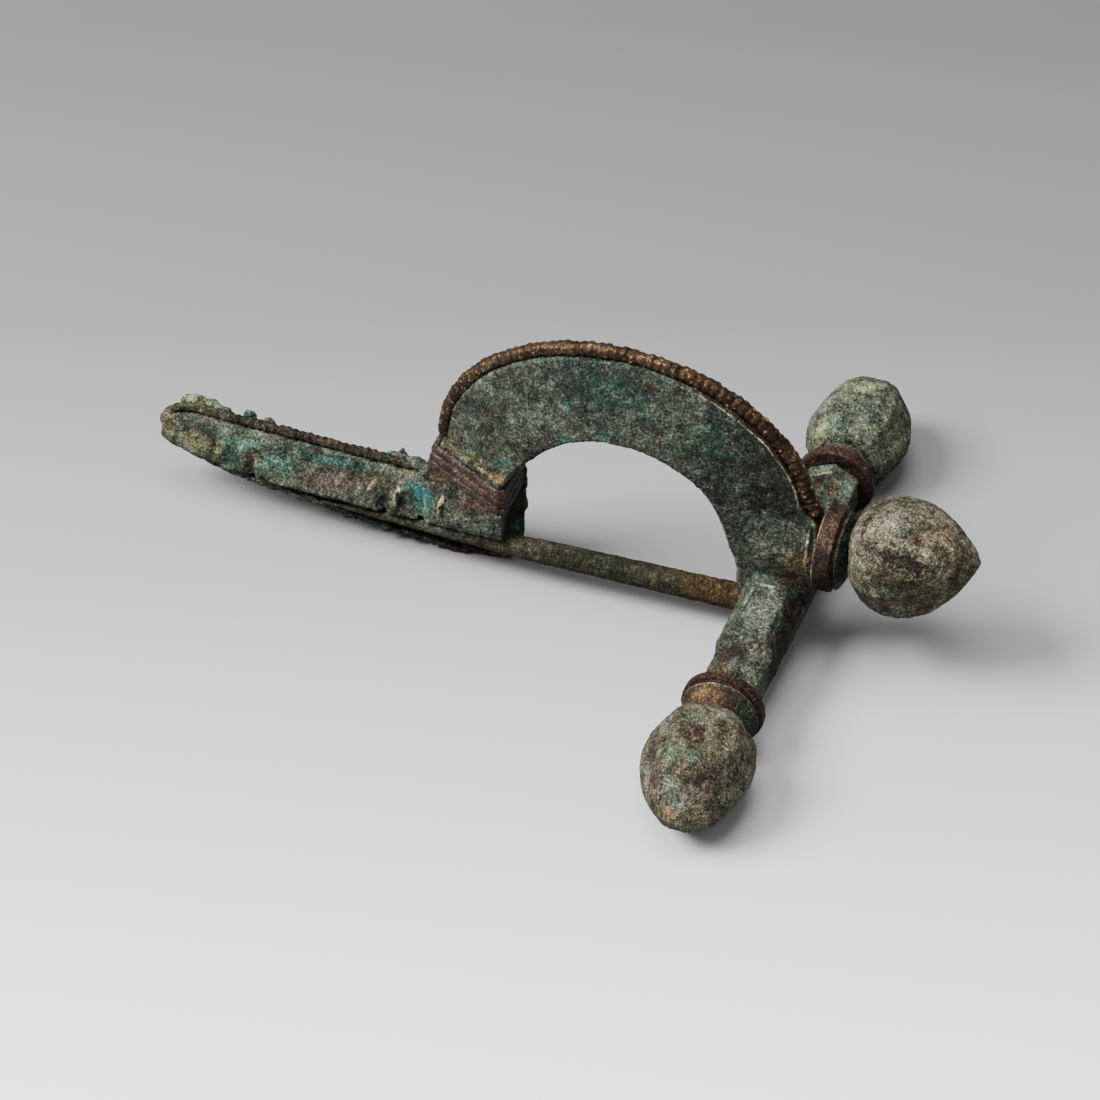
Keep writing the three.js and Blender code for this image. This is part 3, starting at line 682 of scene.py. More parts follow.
BOW_STAINS = (
    StainAndPaintedLight((-18.0, 0.0, 21.0), (9.0, 6.0, 5.0), (0.014, 0.022, 0.016), 0.6, ragged=4.0),
    StainAndPaintedLight((-3.0, 0.0, 16.0), (8.0, 6.0, 8.0), (0.01, 0.012, 0.009), 0.85, ragged=4.0),
    StainAndPaintedLight((-17.0, 0.0, 21.0), (4.5, 6.0, 2.4), (0.012, 0.055, 0.033), 0.3, ragged=6.0),
    StainAndPaintedLight((-8.0, 0.0, 18.0), (4.5, 6.0, 3.2), (0.012, 0.05, 0.032), 0.25, ragged=6.0),
    StainAndPaintedLight((1.0, -2.4, 6.0), (3.5, 2.0, 3.0), (0.04, 0.036, 0.024), 0.5, ragged=4.0),
)
ARM_STAINS = (
    StainAndPaintedLight((0.2, -7.4, 3.9), (1.9, 3.6, 0.9), (0.085, 0.092, 0.068), 0.7, ragged=3.4),
    StainAndPaintedLight((-1.2, -11.0, 3.0), (1.5, 0.25, 0.6), PALE_GREEN, 0.7, ragged=2.0),
    StainAndPaintedLight((-1.3, -12.8, 3.0), (1.7, 2.0, 1.3), (0.018, 0.01, 0.008), 1.0, ragged=2.0),
    StainAndPaintedLight((0.3, -11.9, 3.4), (0.35, 1.0, 0.6), (0.15, 0.1, 0.055), 0.7),
    StainAndPaintedLight((-1.2, -15.4, 2.6), (1.5, 1.7, 1.3), (0.04, 0.028, 0.014), 0.8),
    StainAndPaintedLight((1.4, -13.0, 2.4), (1.0, 3.6, 1.2), (0.09, 0.085, 0.06), 0.75),
    StainAndPaintedLight((2.6, -14.5, 0.6), (0.8, 3.2, 1.6), TURQUOISE, 0.35),
    # Painted shade on the cross-arm's side that looks towards the head knob, away from the key light.
    StainAndPaintedLight((3.0, -6.0, 2.4), (1.1, 6.5, 2.4), (0.012, 0.007, 0.005), 1.0, ragged=1.6),
    StainAndPaintedLight((3.2, -9.0, 0.6), (1.2, 6.0, 2.4), (0.016, 0.011, 0.007), 0.8),
    StainAndPaintedLight((3.3, -12.5, -0.4), (0.5, 5.0, 0.7), GREY_GREEN, 0.6),
    StainAndPaintedLight((1.6, -3.1, 4.4), (1.6, 1.5, 1.4), (0.012, 0.008, 0.005), 1.0, ragged=2.4),
    StainAndPaintedLight((2.3, -2.5, 6.0), (1.1, 1.2, 2.0), (0.06, 0.042, 0.02), 0.6, ragged=3.6),
    StainAndPaintedLight((-0.4, -4.0, 3.9), (1.6, 0.3, 0.5), (0.15, 0.16, 0.115), 0.9, ragged=1.6),
    StainAndPaintedLight((-1.6, -6.0, 3.7), (0.25, 2.2, 0.5), (0.13, 0.14, 0.1), 0.6, ragged=1.8),
    StainAndPaintedLight((2.9, -2.4, 6.9), (0.5, 0.7, 2.0), OCHRE, 0.35, ragged=3.6),
    StainAndPaintedLight((3.1, -1.8, 8.6), (0.3, 1.1, 2.0), BLACK_BROWN, 1.0, ragged=0.8),
    StainAndPaintedLight((2.75, -1.9, 8.4), (0.16, 1.1, 1.7), (0.15, 0.135, 0.085), 1.0, ragged=0.8),
    StainAndPaintedLight((2.35, -1.2, 11.4), (0.2, 0.9, 1.7), (0.24, 0.26, 0.145), 1.0, -32.0, ragged=0.6),
    StainAndPaintedLight((-0.7, 13.6, 2.7), (1.2, 1.7, 0.9), (0.02, 0.016, 0.007), 1.0, ragged=1.2),
    StainAndPaintedLight((1.15, 13.4, 2.5), (0.45, 1.9, 0.8), (0.17, 0.11, 0.06), 0.75, ragged=1.8),
    StainAndPaintedLight((-0.6, 15.4, 2.5), (1.6, 0.3, 0.9), CREAM, 0.8, ragged=1.4),
    StainAndPaintedLight((2.0, 14.6, 1.9), (0.9, 2.2, 1.2), (0.1, 0.12, 0.088), 0.8),
    StainAndPaintedLight((-0.8, 16.4, 2.4), (1.6, 0.8, 0.9), (0.07, 0.09, 0.068), 0.7),
)
NECK_STAINS = (
    StainAndPaintedLight((-33.6, -1.2, 9.6), (0.9, 1.4, 2.2), (0.085, 0.068, 0.036), 0.7, 12.0, ragged=4.0),
    StainAndPaintedLight((-31.6, -2.2, 8.9), (2.6, 1.4, 0.9), (0.12, 0.115, 0.062), 0.8, 12.0, ragged=4.0),
    StainAndPaintedLight((-30.0, -2.6, 7.9), (2.8, 1.4, 0.45), (0.17, 0.13, 0.062), 0.8, 12.0, ragged=3.0),
    StainAndPaintedLight((-28.8, -2.7, 7.7), (1.0, 1.2, 0.7), (0.17, 0.12, 0.05), 0.85),
    # Painted shade: the foot's end face under the bow is blackened, as it lies in shadow.
    StainAndPaintedLight((-27.7, 0.0, 2.6), (1.5, 3.3, 8.0), BLACK_BROWN, 1.0, ragged=0.8),
    StainAndPaintedLight((-28.0, 3.0, 2.0), (0.7, 0.4, 4.4), (0.14, 0.1, 0.05), 0.85),
    StainAndPaintedLight((-28.4, 2.3, -2.6), (0.8, 0.9, 0.9), TEAL, 0.7),
)
FOOT_STAINS = (
    StainAndPaintedLight((-48.0, -2.6, 2.6), (20.0, 2.6, 2.8), (0.032, 0.036, 0.024), 0.85, ragged=3.6),
    StainAndPaintedLight((-52.0, -2.2, 2.0), (9.0, 1.6, 1.2), TEAL, 0.3, ragged=6.0),
    StainAndPaintedLight((-43.0, -2.2, 3.0), (5.0, 1.8, 1.2), (0.048, 0.032, 0.018), 0.5, ragged=5.0),
    StainAndPaintedLight((-60.0, -2.0, 2.4), (6.0, 1.8, 1.4), (0.05, 0.046, 0.026), 0.4, ragged=5.0),
    StainAndPaintedLight((-31.5, -2.8, 3.4), (2.4, 1.2, 1.4), BROWN_RED, 0.55, ragged=4.0),
    StainAndPaintedLight((-32.5, -3.2, 1.6), (2.6, 0.9, 0.8), GREY_GREEN, 0.6),
    StainAndPaintedLight((-30.0, -3.0, 1.0), (1.2, 0.9, 1.2), (0.05, 0.08, 0.05), 0.6),
    StainAndPaintedLight((-37.4, -1.9, 2.6), (1.9, 1.6, 1.6), BLUE_TEAL, 0.75, ragged=3.6),
    StainAndPaintedLight((-36.6, -2.4, 1.6), (1.1, 1.0, 1.0), TURQUOISE, 0.5, ragged=4.0),
    StainAndPaintedLight((-38.8, -2.4, 1.8), (0.8, 1.4, 1.3), (0.012, 0.016, 0.01), 1.0, ragged=1.4),
    StainAndPaintedLight((-41.5, -2.3, 1.8), (1.2, 1.4, 1.2), (0.012, 0.016, 0.01), 1.0, ragged=1.4),
    StainAndPaintedLight((-34.9, -2.5, 2.5), (0.28, 1.4, 1.6), CREAM, 0.8, 8.0, ragged=1.8),
    StainAndPaintedLight((-39.8, -2.2, 1.9), (0.34, 1.4, 1.5), (0.17, 0.145, 0.085), 1.0, -8.0, ragged=1.4),
    StainAndPaintedLight((-42.7, -2.0, 2.2), (0.2, 1.2, 1.3), (0.2, 0.17, 0.1), 0.6, 30.0, ragged=1.6),
    StainAndPaintedLight((-39.6, -0.9, 4.0), (2.2, 0.8, 0.8), OLIVE, 0.7),
    StainAndPaintedLight((-35.8, -1.2, 4.6), (1.8, 0.9, 0.9), (0.04, 0.026, 0.012), 0.8),
    StainAndPaintedLight((-47.5, -2.2, 1.8), (5.4, 1.5, 1.3), PINK_BROWN, 0.5, ragged=4.4),
    StainAndPaintedLight((-47.0, -1.2, 3.5), (6.0, 0.7, 0.7), (0.012, 0.035, 0.028), 0.75),
    StainAndPaintedLight((-53.2, -2.1, 2.2), (2.2, 1.4, 1.3), TURQUOISE, 0.5, ragged=4.4),
    StainAndPaintedLight((-55.3, -2.2, 1.9), (0.25, 1.0, 1.2), (0.12, 0.1, 0.06), 0.8, 10.0, ragged=1.4),
    StainAndPaintedLight((-56.0, -2.2, 1.9), (0.45, 1.0, 1.1), BROWN_RED, 0.9, ragged=1.4),
    StainAndPaintedLight((-57.6, -1.6, 3.0), (3.0, 0.9, 0.8), TURQUOISE, 0.5, -6.0, ragged=4.0),
    StainAndPaintedLight((-58.2, -2.2, 1.8), (1.4, 1.2, 0.9), (0.012, 0.028, 0.018), 1.0, ragged=1.6),
    StainAndPaintedLight((-59.6, -2.0, 2.0), (0.9, 1.0, 1.0), YELLOW_GREEN, 0.4, ragged=4.0),
    StainAndPaintedLight((-60.9, -1.2, 3.4), (1.4, 0.8, 0.8), DARK_GREEN, 0.8),
    StainAndPaintedLight((-62.6, -1.8, 2.2), (2.2, 1.6, 1.4), OLIVE, 0.8),
    StainAndPaintedLight((-65.4, -0.8, 2.9), (1.5, 1.6, 1.4), (0.085, 0.072, 0.04), 0.85),
    StainAndPaintedLight((-59.0, 0.9, 4.9), (3.2, 0.7, 0.7), TEAL, 0.8),
    StainAndPaintedLight((-62.8, 1.5, 5.2), (3.0, 1.7, 1.5), (0.09, 0.11, 0.06), 0.9),
    StainAndPaintedLight((-45.0, -1.0, -3.2), (16.0, 3.5, 1.8), DARK_GREEN, 0.7),
    StainAndPaintedLight((-33.0, -1.0, -4.4), (5.0, 3.5, 1.2), BROWN_RED, 0.7),
    # Painted shade inside the catch's channel, above the flap.
    StainAndPaintedLight((-41.0, 1.6, -1.0), (14.0, 1.4, 1.4), BLACK_BROWN, 0.9, ragged=1.0),
)
HEAD_KNOB_STAINS = (
    # The lower near facet is darkened and mottled, partly its own colour and partly painted shade; a dark
    # band runs below the ridge, and a pale line along the ridge is partly beige wear and partly a painted
    # highlight.
    StainAndPaintedLight((12.9, -5.2, 9.4), (4.6, 1.9, 2.6), (0.02, 0.019, 0.011), 0.75, 8.0, ragged=2.0),
    StainAndPaintedLight((13.2, -4.3, 11.1), (5.4, 1.2, 0.8), (0.008, 0.006, 0.004), 0.9, 12.0, ragged=2.2),
    StainAndPaintedLight((13.6, -3.2, 12.2), (4.0, 0.6, 0.45), (0.16, 0.145, 0.1), 0.8, 13.0, ragged=1.8),
    StainAndPaintedLight((11.0, -1.4, 13.2), (1.8, 2.4, 1.6), (0.11, 0.1, 0.075), 0.6),
    StainAndPaintedLight((15.4, -0.9, 12.4), (2.0, 2.2, 1.4), (0.14, 0.105, 0.062), 0.6, ragged=3.6),
    StainAndPaintedLight((15.2, -4.2, 7.4), (2.6, 1.6, 1.2), (0.062, 0.052, 0.034), 0.6),
    StainAndPaintedLight((11.4, -5.2, 8.3), (1.4, 1.2, 1.0), (0.018, 0.06, 0.034), 0.6),
    StainAndPaintedLight((15.6, -3.4, 9.6), (2.0, 1.6, 0.9), (0.09, 0.08, 0.055), 0.6),
    StainAndPaintedLight((9.7, -3.6, 11.4), (1.4, 1.6, 0.6), (0.018, 0.015, 0.01), 0.7),
)
NEAR_KNOB_STAINS = (
    StainAndPaintedLight((-0.1, -26.4, 4.9), (1.5, 1.9, 1.0), (0.024, 0.014, 0.011), 0.7, ragged=3.4),
    StainAndPaintedLight((-1.6, -29.2, 4.2), (1.5, 2.0, 1.3), (0.055, 0.085, 0.06), 0.5, ragged=4.4),
    StainAndPaintedLight((1.6, -30.2, 3.6), (2.4, 1.7, 1.6), (0.018, 0.011, 0.008), 0.7, ragged=4.0),
    StainAndPaintedLight((3.2, -25.6, 4.2), (1.0, 1.9, 1.3), (0.2, 0.165, 0.1), 0.6),
    StainAndPaintedLight((-0.1, -33.4, 0.8), (0.8, 0.9, 0.7), (0.17, 0.105, 0.05), 0.8, ragged=1.8),
    StainAndPaintedLight((-2.3, -31.2, 2.2), (1.2, 1.4, 1.2), (0.035, 0.025, 0.018), 0.65),
    StainAndPaintedLight((2.4, -32.3, 0.6), (1.6, 1.0, 1.4), (0.16, 0.13, 0.08), 0.55),
    StainAndPaintedLight((-2.6, -26.0, 3.8), (1.2, 1.8, 1.2), (0.11, 0.12, 0.09), 0.6),
)
FAR_KNOB_STAINS = (
    StainAndPaintedLight((1.2, 23.7, 4.7), (2.2, 2.2, 1.4), (0.035, 0.045, 0.035), 0.75),
    StainAndPaintedLight((-1.3, 21.6, 3.8), (0.9, 1.1, 0.9), (0.06, 0.13, 0.098), 0.45, ragged=4.0),
    StainAndPaintedLight((-3.0, 21.8, 2.6), (1.2, 1.6, 1.6), (0.16, 0.165, 0.08), 0.75),
    StainAndPaintedLight((0.0, 28.0, 4.6), (1.6, 1.6, 1.3), (0.16, 0.18, 0.09), 0.75),
    StainAndPaintedLight((3.3, 27.4, 4.0), (1.4, 1.8, 1.3), (0.15, 0.16, 0.11), 0.65),
    StainAndPaintedLight((4.7, 23.0, 1.3), (1.2, 1.8, 1.6), (0.1, 0.11, 0.075), 0.6),
)
COLLAR_STAINS = (
    StainAndPaintedLight((-1.4, -19.4, 3.0), (2.4, 1.1, 1.4), (0.065, 0.038, 0.014), 0.8, ragged=3.4),
    StainAndPaintedLight((2.6, -19.5, 1.8), (1.5, 1.1, 2.4), (0.016, 0.032, 0.014), 0.85),
    StainAndPaintedLight((0.0, -18.62, 0.0), (6.0, 0.13, 6.0), (0.15, 0.15, 0.1), 0.8, ragged=0.8),
    StainAndPaintedLight((0.0, -18.36, 0.0), (6.0, 0.1, 6.0), BLACK_BROWN, 0.8, ragged=0.6),
    StainAndPaintedLight((0.0, 19.4, 0.0), (6.0, 1.0, 6.0), GREY_GREEN, 0.7),
    StainAndPaintedLight((3.9, 0.0, 6.95), (0.14, 6.0, 6.0), (0.24, 0.16, 0.09), 0.85, ragged=0.8),
    StainAndPaintedLight((6.4, 0.0, 6.95), (0.6, 6.0, 6.0), (0.012, 0.03, 0.016), 0.9, ragged=0.8),
    StainAndPaintedLight((6.2, -2.4, 4.4), (0.8, 2.6, 2.0), OLIVE, 0.5),
    # Painted shadow under the near side of the head collar.
    StainAndPaintedLight((5.1, -3.4, 4.4), (1.0, 2.6, 3.4), BLACK_BROWN, 0.8),
)

BOW_PATINA = Patina(
    "bow patina", tone=(0.05, 0.058, 0.043), drift=(0.028, 0.032, 0.024), green=(0.02, 0.058, 0.04),
    warm=(0.03, 0.019, 0.013), light=(0.15, 0.165, 0.118), dark=(0.004, 0.004, 0.003), light_share=0.43,
    dark_share=0.6, warm_share=0.45, stains=BOW_STAINS + ARM_STAINS + NECK_STAINS + FOOT_STAINS,
    crease=(0.2, 0.21, 0.14))
# The crest wire's light colour on the beads' crowns is a painted highlight, and its low shade is painted
# shade on the wire's lower half.
WIRE_BROWN = Patina(
    "brown wire", tone=(0.045, 0.026, 0.013), drift=(0.024, 0.013, 0.007), green=(0.018, 0.018, 0.01),
    warm=(0.066, 0.038, 0.016), light=(0.42, 0.3, 0.14), dark=(0.003, 0.002, 0.001), light_share=0.15,
    dark_share=0.6, green_share=0.2, contrast=10.0, shade=0.2, roughness=0.4, gloss=0.15, metallic=0.6,
    grain=0.22, relief=0.05, wear_and_highlight=3.2)
RIDGE_BROWN = Patina(
    "ridge wire brown", tone=(0.022, 0.016, 0.011), drift=(0.013, 0.01, 0.007), green=(0.011, 0.022, 0.014),
    warm=(0.036, 0.02, 0.012), light=(0.16, 0.12, 0.075), dark=(0.003, 0.002, 0.001), light_share=0.35,
    roughness=0.7, metallic=0.2, grain=0.24, relief=0.06,
    stains=(StainAndPaintedLight((-62.5, 0.0, 4.6), (4.2, 2.0, 2.0), (0.04, 0.042, 0.022), 0.7),))
BAND_BROWN = Patina(
    "band brown", tone=(0.046, 0.027, 0.02), drift=(0.026, 0.015, 0.011), green=(0.024, 0.036, 0.024),
    warm=(0.055, 0.031, 0.017), light=(0.17, 0.13, 0.085), dark=(0.004, 0.002, 0.002), light_share=0.4,
    roughness=0.65, gloss=0.2, metallic=0.1, grain=0.24, relief=0.07, stains=(
        StainAndPaintedLight((-33.5, -1.9, 6.9), (0.3, 0.8, 0.3), TURQUOISE, 0.6),
        StainAndPaintedLight((-29.0, -2.9, 5.0), (1.4, 1.0, 1.6), BROWN_RED, 0.7),
        # Painted shade on the band's end face under the bow.
        StainAndPaintedLight((-27.5, 0.0, 5.0), (0.9, 3.0, 3.8), BLACK_BROWN, 1.0, ragged=1.0),
    ))
NEAR_KNOB_PATINA = Patina(
    "near knob patina", tone=(0.05, 0.044, 0.028), drift=(0.09, 0.081, 0.055), green=(0.035, 0.062, 0.043),
    warm=(0.024, 0.015, 0.011), light=(0.25, 0.225, 0.155), dark=(0.005, 0.003, 0.002), light_share=0.5,
    dark_share=0.6, green_share=0.5, warm_share=0.5, shade=0.45, stains=NEAR_KNOB_STAINS)
HEAD_KNOB_PATINA = replace(NEAR_KNOB_PATINA, name="head knob patina", stains=HEAD_KNOB_STAINS)
FAR_KNOB_PATINA = replace(
    NEAR_KNOB_PATINA, name="far knob patina", tone=(0.056, 0.062, 0.04), drift=(0.088, 0.095, 0.064),
    stains=FAR_KNOB_STAINS)
COLLAR_BROWN = Patina(
    "collar brown", tone=(0.03, 0.017, 0.012), drift=(0.018, 0.01, 0.008), green=(0.022, 0.03, 0.018),
    warm=(0.05, 0.027, 0.017), light=(0.17, 0.13, 0.085), dark=(0.003, 0.002, 0.002), light_share=0.4,
    dark_share=0.6, green_share=0.2, shade=0.35, roughness=0.7, relief=0.08, grain=0.24,
    stains=COLLAR_STAINS)
PIN_CRUST = Patina(
    "pin crust", tone=(0.022, 0.02, 0.012), drift=(0.018, 0.018, 0.011), green=(0.014, 0.018, 0.01),
    warm=(0.028, 0.018, 0.01), light=(0.09, 0.07, 0.042), dark=(0.004, 0.003, 0.002), light_share=0.4,
    contrast=11.0, relief=0.1, stains=(
        StainAndPaintedLight((-6.0, -1.2, -1.3), (7.0, 3.0, 3.0), (0.04, 0.023, 0.01), 0.85),
        StainAndPaintedLight((-2.4, -1.2, -1.3), (2.6, 3.0, 3.0), (0.1, 0.058, 0.028), 0.5),
        StainAndPaintedLight((-17.0, -1.4, -1.3), (4.0, 3.0, 3.0), (0.014, 0.015, 0.009), 0.8),
        StainAndPaintedLight((-26.0, -1.6, -1.3), (5.0, 3.0, 3.0), (0.034, 0.031, 0.019), 0.7),
        StainAndPaintedLight((-36.0, -2.0, -1.2), (6.0, 3.0, 3.0), (0.03, 0.036, 0.025), 0.7),
    ))

CORROSION = (Roughening(2.4, 0.24), Roughening(0.6, 0.14), Roughening(0.3, 0.07))
FINE_CORROSION = (Roughening(1.3, 0.14), Roughening(0.4, 0.09))
KNOB_CORROSION = (Roughening(2.6, 0.24), Roughening(0.8, 0.14), Roughening(0.32, 0.09))
RIDGE_CORROSION = (Roughening(1.2, 0.3), Roughening(0.4, 0.12))
PIN_CORROSION = (Roughening(1.0, 0.18), Roughening(0.35, 0.12))
FOOT_CRUST = (Roughening(0.9, 0.34, 0.5, "foot"),)
EATEN_FLAP = (Roughening(1.4, 0.9, 0.55, "flap"), Roughening(0.5, 0.4, 0.5, "flap"))
WORN_FORM = (Roughening(1.0, 0.34, 0.0),)
WORN_SMOOTHINGS = 11


@dataclass
class WeatheredPiece:
    """One solid of the brooch, roughened by corrosion.

    Attributes:
        node: Solid that it stands for.
        slot: Material slot of the record.
        finish: Its patina.
        voxel: Size of its finest form, in millimetres.
        layers: Layers of roughness.
        body: Body that it moves with.
        lumps: Lumps of corrosion that have grown on it.
        zones: Named boxes that single layers are kept to.
        wear: How often the fine form is smoothed.
    """

    node: str
    slot: Slot
    finish: Patina
    voxel: float
    layers: tuple[Roughening, ...] = CORROSION
    body: Body = Body.BROOCH
    lumps: tuple[Lump, ...] = ()
    zones: dict[str, tuple[Place, Place]] = field(default_factory=dict)
    wear: int = 1

    def build(self) -> bpy.types.Object:
        """Makes the piece and gives it its finish."""
        piece = copy_of(self.node, f"weathered_{self.node}")
        if self.lumps:
            piece = joined(piece, [lump_of(lump) for lump in self.lumps])
        apply_modifier(piece, "REMESH", mode="VOXEL", voxel_size=self.voxel * MM)
        apply_modifier(piece, "SMOOTH", factor=SMOOTHING, iterations=self.wear)
        for name, (low, high) in self.zones.items():
            mark_zone(piece, name, low, high)
        roughen(piece, self.layers)
        return finished(piece, self.node, self.body, self.slot, self.finish.material())


@dataclass
class CastBody:
    """Bow, cross-arm and foot in one casting, with the corrosion that has grown on the foot."""

    voxel: float = 0.2
    lumps: tuple[Lump, ...] = (
        Lump((-63.4, 1.3, 4.2), (1.7, 0.9, 1.3)),
        Lump((-62.0, 1.5, 4.1), (1.4, 0.8, 1.2), 20),
        Lump((-60.6, 1.3, 4.0), (1.2, 0.7, 0.8), 10),
        Lump((-57.2, 1.1, 4.6), (0.7, 0.5, 0.9), -25),
        Lump((-55.3, 1.0, 4.5), (0.8, 0.5, 0.4)),
        Lump((-40.2, 0.6, 4.5), (0.45, 0.4, 1.6)),
        Lump((-41.2, 0.3, 4.4), (1.1, 0.8, 0.6)),
        Lump((-38.6, 0.2, 4.5), (1.3, 0.9, 0.6)),
        Lump((-36.6, -0.4, 4.7), (1.2, 0.9, 0.8), 30),
        Lump((-34.9, -2.5, 2.1), (0.2, 1.0, 1.3)),
        Lump((-39.7, -2.4, 1.5), (0.25, 0.9, 1.2)),
        Lump((-66.0, 0.2, 3.0), (0.9, 1.2, 1.0)),
        Lump((-28.2, 3.0, 2.2), (0.35, 0.45, 3.6)),
    )
    zones: dict[str, tuple[Place, Place]] = field(default_factory=lambda: {
        "foot": ((-80.0, -5.0, -0.2), (-29.5, 5.0, 9.0)),
        "flap": ((-80.0, -5.0, -9.0), (-28.6, -0.6, -0.8)),
    })

    def build(self) -> bpy.types.Object:
        """Makes the body, with the foot crusted and the flap of the catch eaten ragged."""
        return WeatheredPiece(
            "brooch_body", Slot.PATINA, BOW_PATINA, self.voxel, CORROSION + FOOT_CRUST + EATEN_FLAP,
            lumps=self.lumps, zones=self.zones).build()


@dataclass
class BeadedWires:
    """The beaded wires on the bow's crest and on the foot's ridge, and the bands round the bow."""

    crest_voxel: float = 0.1
    ridge_voxel: float = 0.1
    band_voxel: float = 0.11

    def build(self) -> list[bpy.types.Object]:
        """Makes the wires and the bands."""
        pieces = (
            WeatheredPiece(
                "bow_crest_wire", Slot.WIRE, WIRE_BROWN, self.crest_voxel, WORN_FORM, wear=WORN_SMOOTHINGS),
            WeatheredPiece("foot_ridge_wire", Slot.WIRE, RIDGE_BROWN, self.ridge_voxel, RIDGE_CORROSION),
            WeatheredPiece("bow_foot_collar", Slot.WIRE, BAND_BROWN, self.band_voxel, FINE_CORROSION),
        )
        return [piece.build() for piece in pieces]


@dataclass
class Terminals:
    """The three onion knobs and their collars."""

    knob_voxel: float = 0.12
    collar_voxel: float = 0.11

    def build(self) -> list[bpy.types.Object]:
        """Makes a knob and its collar for the head and for both ends of the cross-arm."""
        patinas = {"head": HEAD_KNOB_PATINA, "near": NEAR_KNOB_PATINA, "far": FAR_KNOB_PATINA}
        pieces = []
        for side, patina in patinas.items():
            pieces.append(WeatheredPiece(
                f"{side}_knob", Slot.KNOB, patina, self.knob_voxel, KNOB_CORROSION).build())
            pieces.append(WeatheredPiece(
                f"{side}_collar", Slot.WIRE, COLLAR_BROWN, self.collar_voxel, FINE_CORROSION).build())
        return pieces


@dataclass
class Pin:
    """The hinged pin, crusted with corrosion."""

    voxel: float = 0.13

    def build(self) -> bpy.types.Object:
        """Makes the pin."""
        return WeatheredPiece("pin", Slot.PIN, PIN_CRUST, self.voxel, PIN_CORROSION, Body.PIN).build()


@dataclass(frozen=True)
class Lamp:
    """A square soft light that looks at the brooch.

    Attributes:
        name: Its name.
        azimuth: Angle that it stands round from the near side, in degrees.
        elevation: Its angle above the table, in degrees.
        distance: From the origin of the frame, in metres.
        size: Its side, in metres.
        power: Its power, in watts.
    """

    name: str
    azimuth: float
    elevation: float
    distance: float
    size: float
    power: float

    def build(self) -> bpy.types.Object:
        """Adds the light."""
        data = bpy.data.lights.new(self.name, "AREA")
        data.shape = "SQUARE"
        data.size = self.size
        data.energy = self.power
        lamp = bpy.data.objects.new(self.name, data)
        bpy.context.collection.objects.link(lamp)
        turn, lift = math.radians(self.azimuth), math.radians(self.elevation)
        away = Vector((math.sin(turn) * math.cos(lift), -math.cos(turn) * math.cos(lift), math.sin(lift)))
        facing = away.to_track_quat("Z", "Y").to_matrix().to_4x4()
        lamp.matrix_world = Matrix.Translation(away * self.distance) @ facing
        return lamp


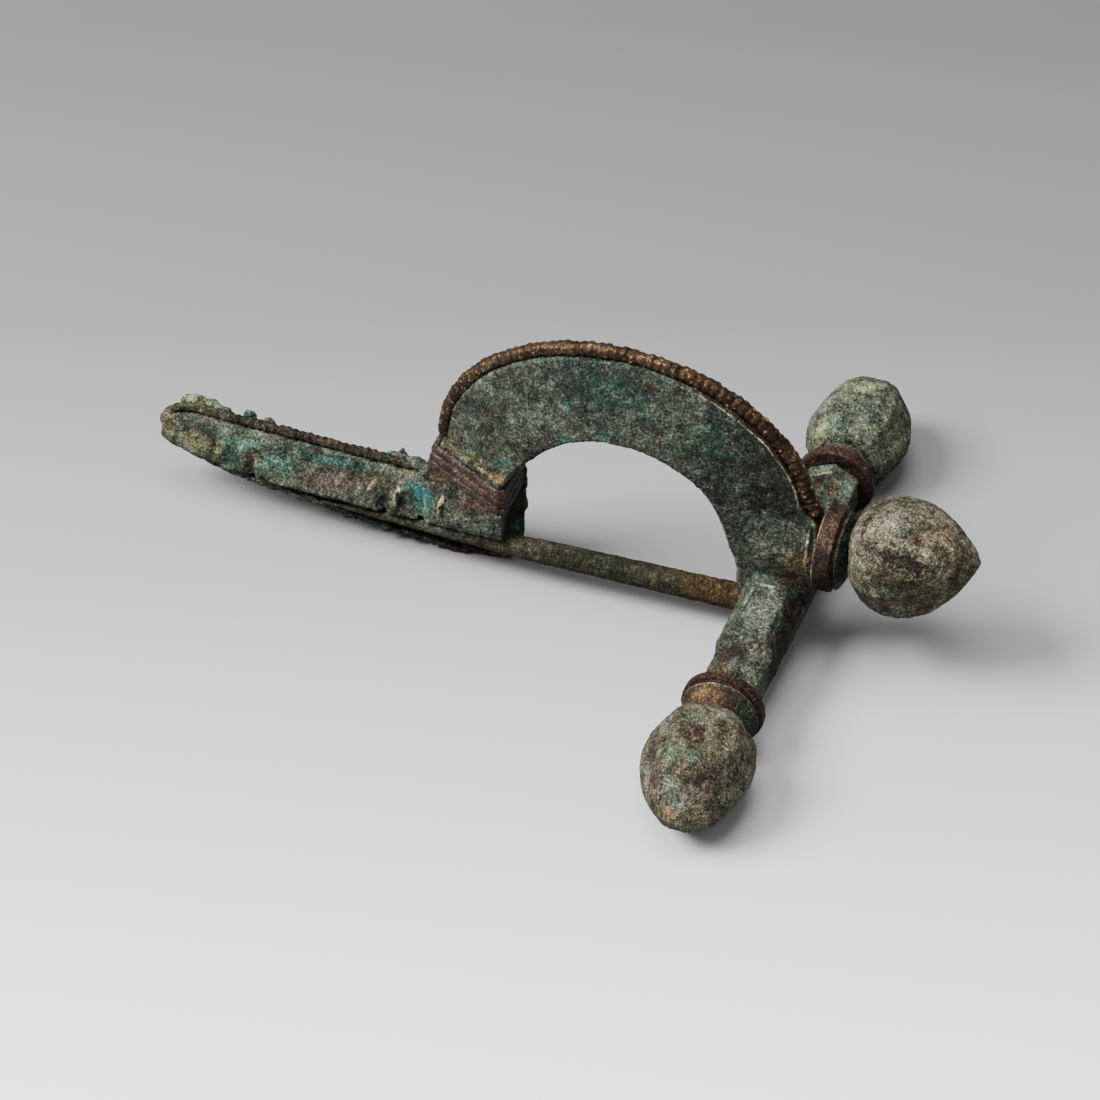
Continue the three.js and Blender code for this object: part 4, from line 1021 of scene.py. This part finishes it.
@dataclass
class Studio:
    """Floor, light and camera.

    Attributes:
        azimuth: Angle that the camera stands round from the near side, in degrees.
        elevation: Its angle above the table, in degrees.
        distance: From the middle of the cross-arm, in millimetres.
        aim: How far the cross-arm's middle lies right of the picture's middle and above it, in millimetres.
        lens: Focal length, in millimetres.
        sensor: Width of the sensor, in millimetres.
        clip: Nearest and farthest distance that the camera sees, in metres.
        floor_side: Side of the floor, in metres.
        painted_floor_falloff: Painted brightness of the floor at distances behind the brooch, in
            millimetres, darker farther back in place of the light's falloff.
        lamps: The lights.
        sky: Strength of the light from all round.
    """

    azimuth: float = 20.63
    elevation: float = 41.4
    distance: float = 327.96
    aim: tuple[float, float] = (22.68, -3.89)
    lens: float = 109.6
    sensor: float = 36.0
    clip: tuple[float, float] = (0.01, 20.0)
    floor_side: float = 4.0
    painted_floor_falloff: tuple[tuple[float, float], ...] = (
        (-62.0, 0.9), (-26.0, 0.56), (9.0, 0.32), (51.0, 0.19), (110.0, 0.135))
    lamps: tuple[Lamp, ...] = (
        Lamp("key", azimuth=-60.0, elevation=48.0, distance=0.6, size=0.28, power=10.0),
        Lamp("top", azimuth=-10.0, elevation=85.0, distance=0.7, size=0.35, power=4.0),
    )
    sky: float = 0.38

    def camera(self) -> None:
        """Places the camera where the photographer's stood."""
        turn, lift = math.radians(self.azimuth), math.radians(self.elevation)
        ahead = Vector((-math.sin(turn) * math.cos(lift), math.cos(turn) * math.cos(lift), -math.sin(lift)))
        right = Vector((math.cos(turn), math.sin(turn), 0))
        up = right.cross(ahead)
        data = bpy.data.cameras.new("camera")
        data.lens = self.lens
        data.sensor_width = self.sensor
        data.clip_start, data.clip_end = self.clip
        camera = bpy.data.objects.new("camera", data)
        bpy.context.collection.objects.link(camera)
        place = ORIGIN - (right * self.aim[0] + up * self.aim[1] + ahead * self.distance) * MM
        camera.matrix_world = Matrix.Translation(place) @ Matrix((right, up, -ahead)).transposed().to_4x4()
        bpy.context.scene.camera = camera

    def floor(self) -> None:
        """Lays a plain pale floor with painted shade that darkens it away from the camera."""
        deselect_all()
        bpy.ops.mesh.primitive_plane_add(size=self.floor_side)
        floor = bpy.context.object
        floor.name = "floor"
        nodes = Nodes("floor")
        turn = math.radians(self.azimuth)
        along = nodes.tree.nodes.new("ShaderNodeVectorMath")
        along.operation = "DOT_PRODUCT"
        along.inputs[1].default_value = (-math.sin(turn), math.cos(turn), 0)
        nodes.link(nodes.place, along.inputs[0])
        # The ramp paints the floor darker away from the camera: painted shade in place of the light's
        # falloff.
        ramp = nodes.tree.nodes.new("ShaderNodeValToRGB")
        near, far = self.painted_floor_falloff[0][0], self.painted_floor_falloff[-1][0]
        share = nodes.tree.nodes.new("ShaderNodeMapRange")
        share.inputs["From Min"].default_value = near
        share.inputs["From Max"].default_value = far
        nodes.link(along.outputs["Value"], share.inputs["Value"])
        nodes.link(share.outputs["Result"], ramp.inputs["Fac"])
        stops = ramp.color_ramp.elements
        while len(stops) < len(self.painted_floor_falloff):
            stops.new(0.5)
        for stop, (distance, tone) in zip(stops, self.painted_floor_falloff):
            stop.position = (distance - near) / (far - near)
            stop.color = (tone, tone, tone, 1.0)
        nodes.feed(nodes.shader.inputs["Base Color"], ramp.outputs["Color"])
        nodes.shader.inputs["Roughness"].default_value = 1.0
        nodes.shader.inputs["Specular IOR Level"].default_value = 0.0
        floor.data.materials.append(nodes.material)
        floor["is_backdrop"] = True

    def light(self) -> None:
        """Sets soft studio light: a large light at the left, one above, and a weak sky all round."""
        world = bpy.data.worlds.new("studio")
        world.use_nodes = True
        background = world.node_tree.nodes["Background"]
        background.inputs["Color"].default_value = (1, 1, 1, 1)
        background.inputs["Strength"].default_value = self.sky
        bpy.context.scene.world = world
        for lamp in self.lamps:
            lamp.build()

    def build(self) -> None:
        """Sets up the whole studio."""
        self.camera()
        self.floor()
        self.light()


def main() -> None:
    """Builds the studio and the pieces of the brooch."""
    logging.basicConfig(level=logging.INFO, format="%(message)s")
    Studio().build()
    CastBody().build()
    BeadedWires().build()
    Terminals().build()
    Pin().build()
    [[list(corner) for corner in box] for box in (solids_box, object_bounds())]


if __name__ == "__main__":
    main()
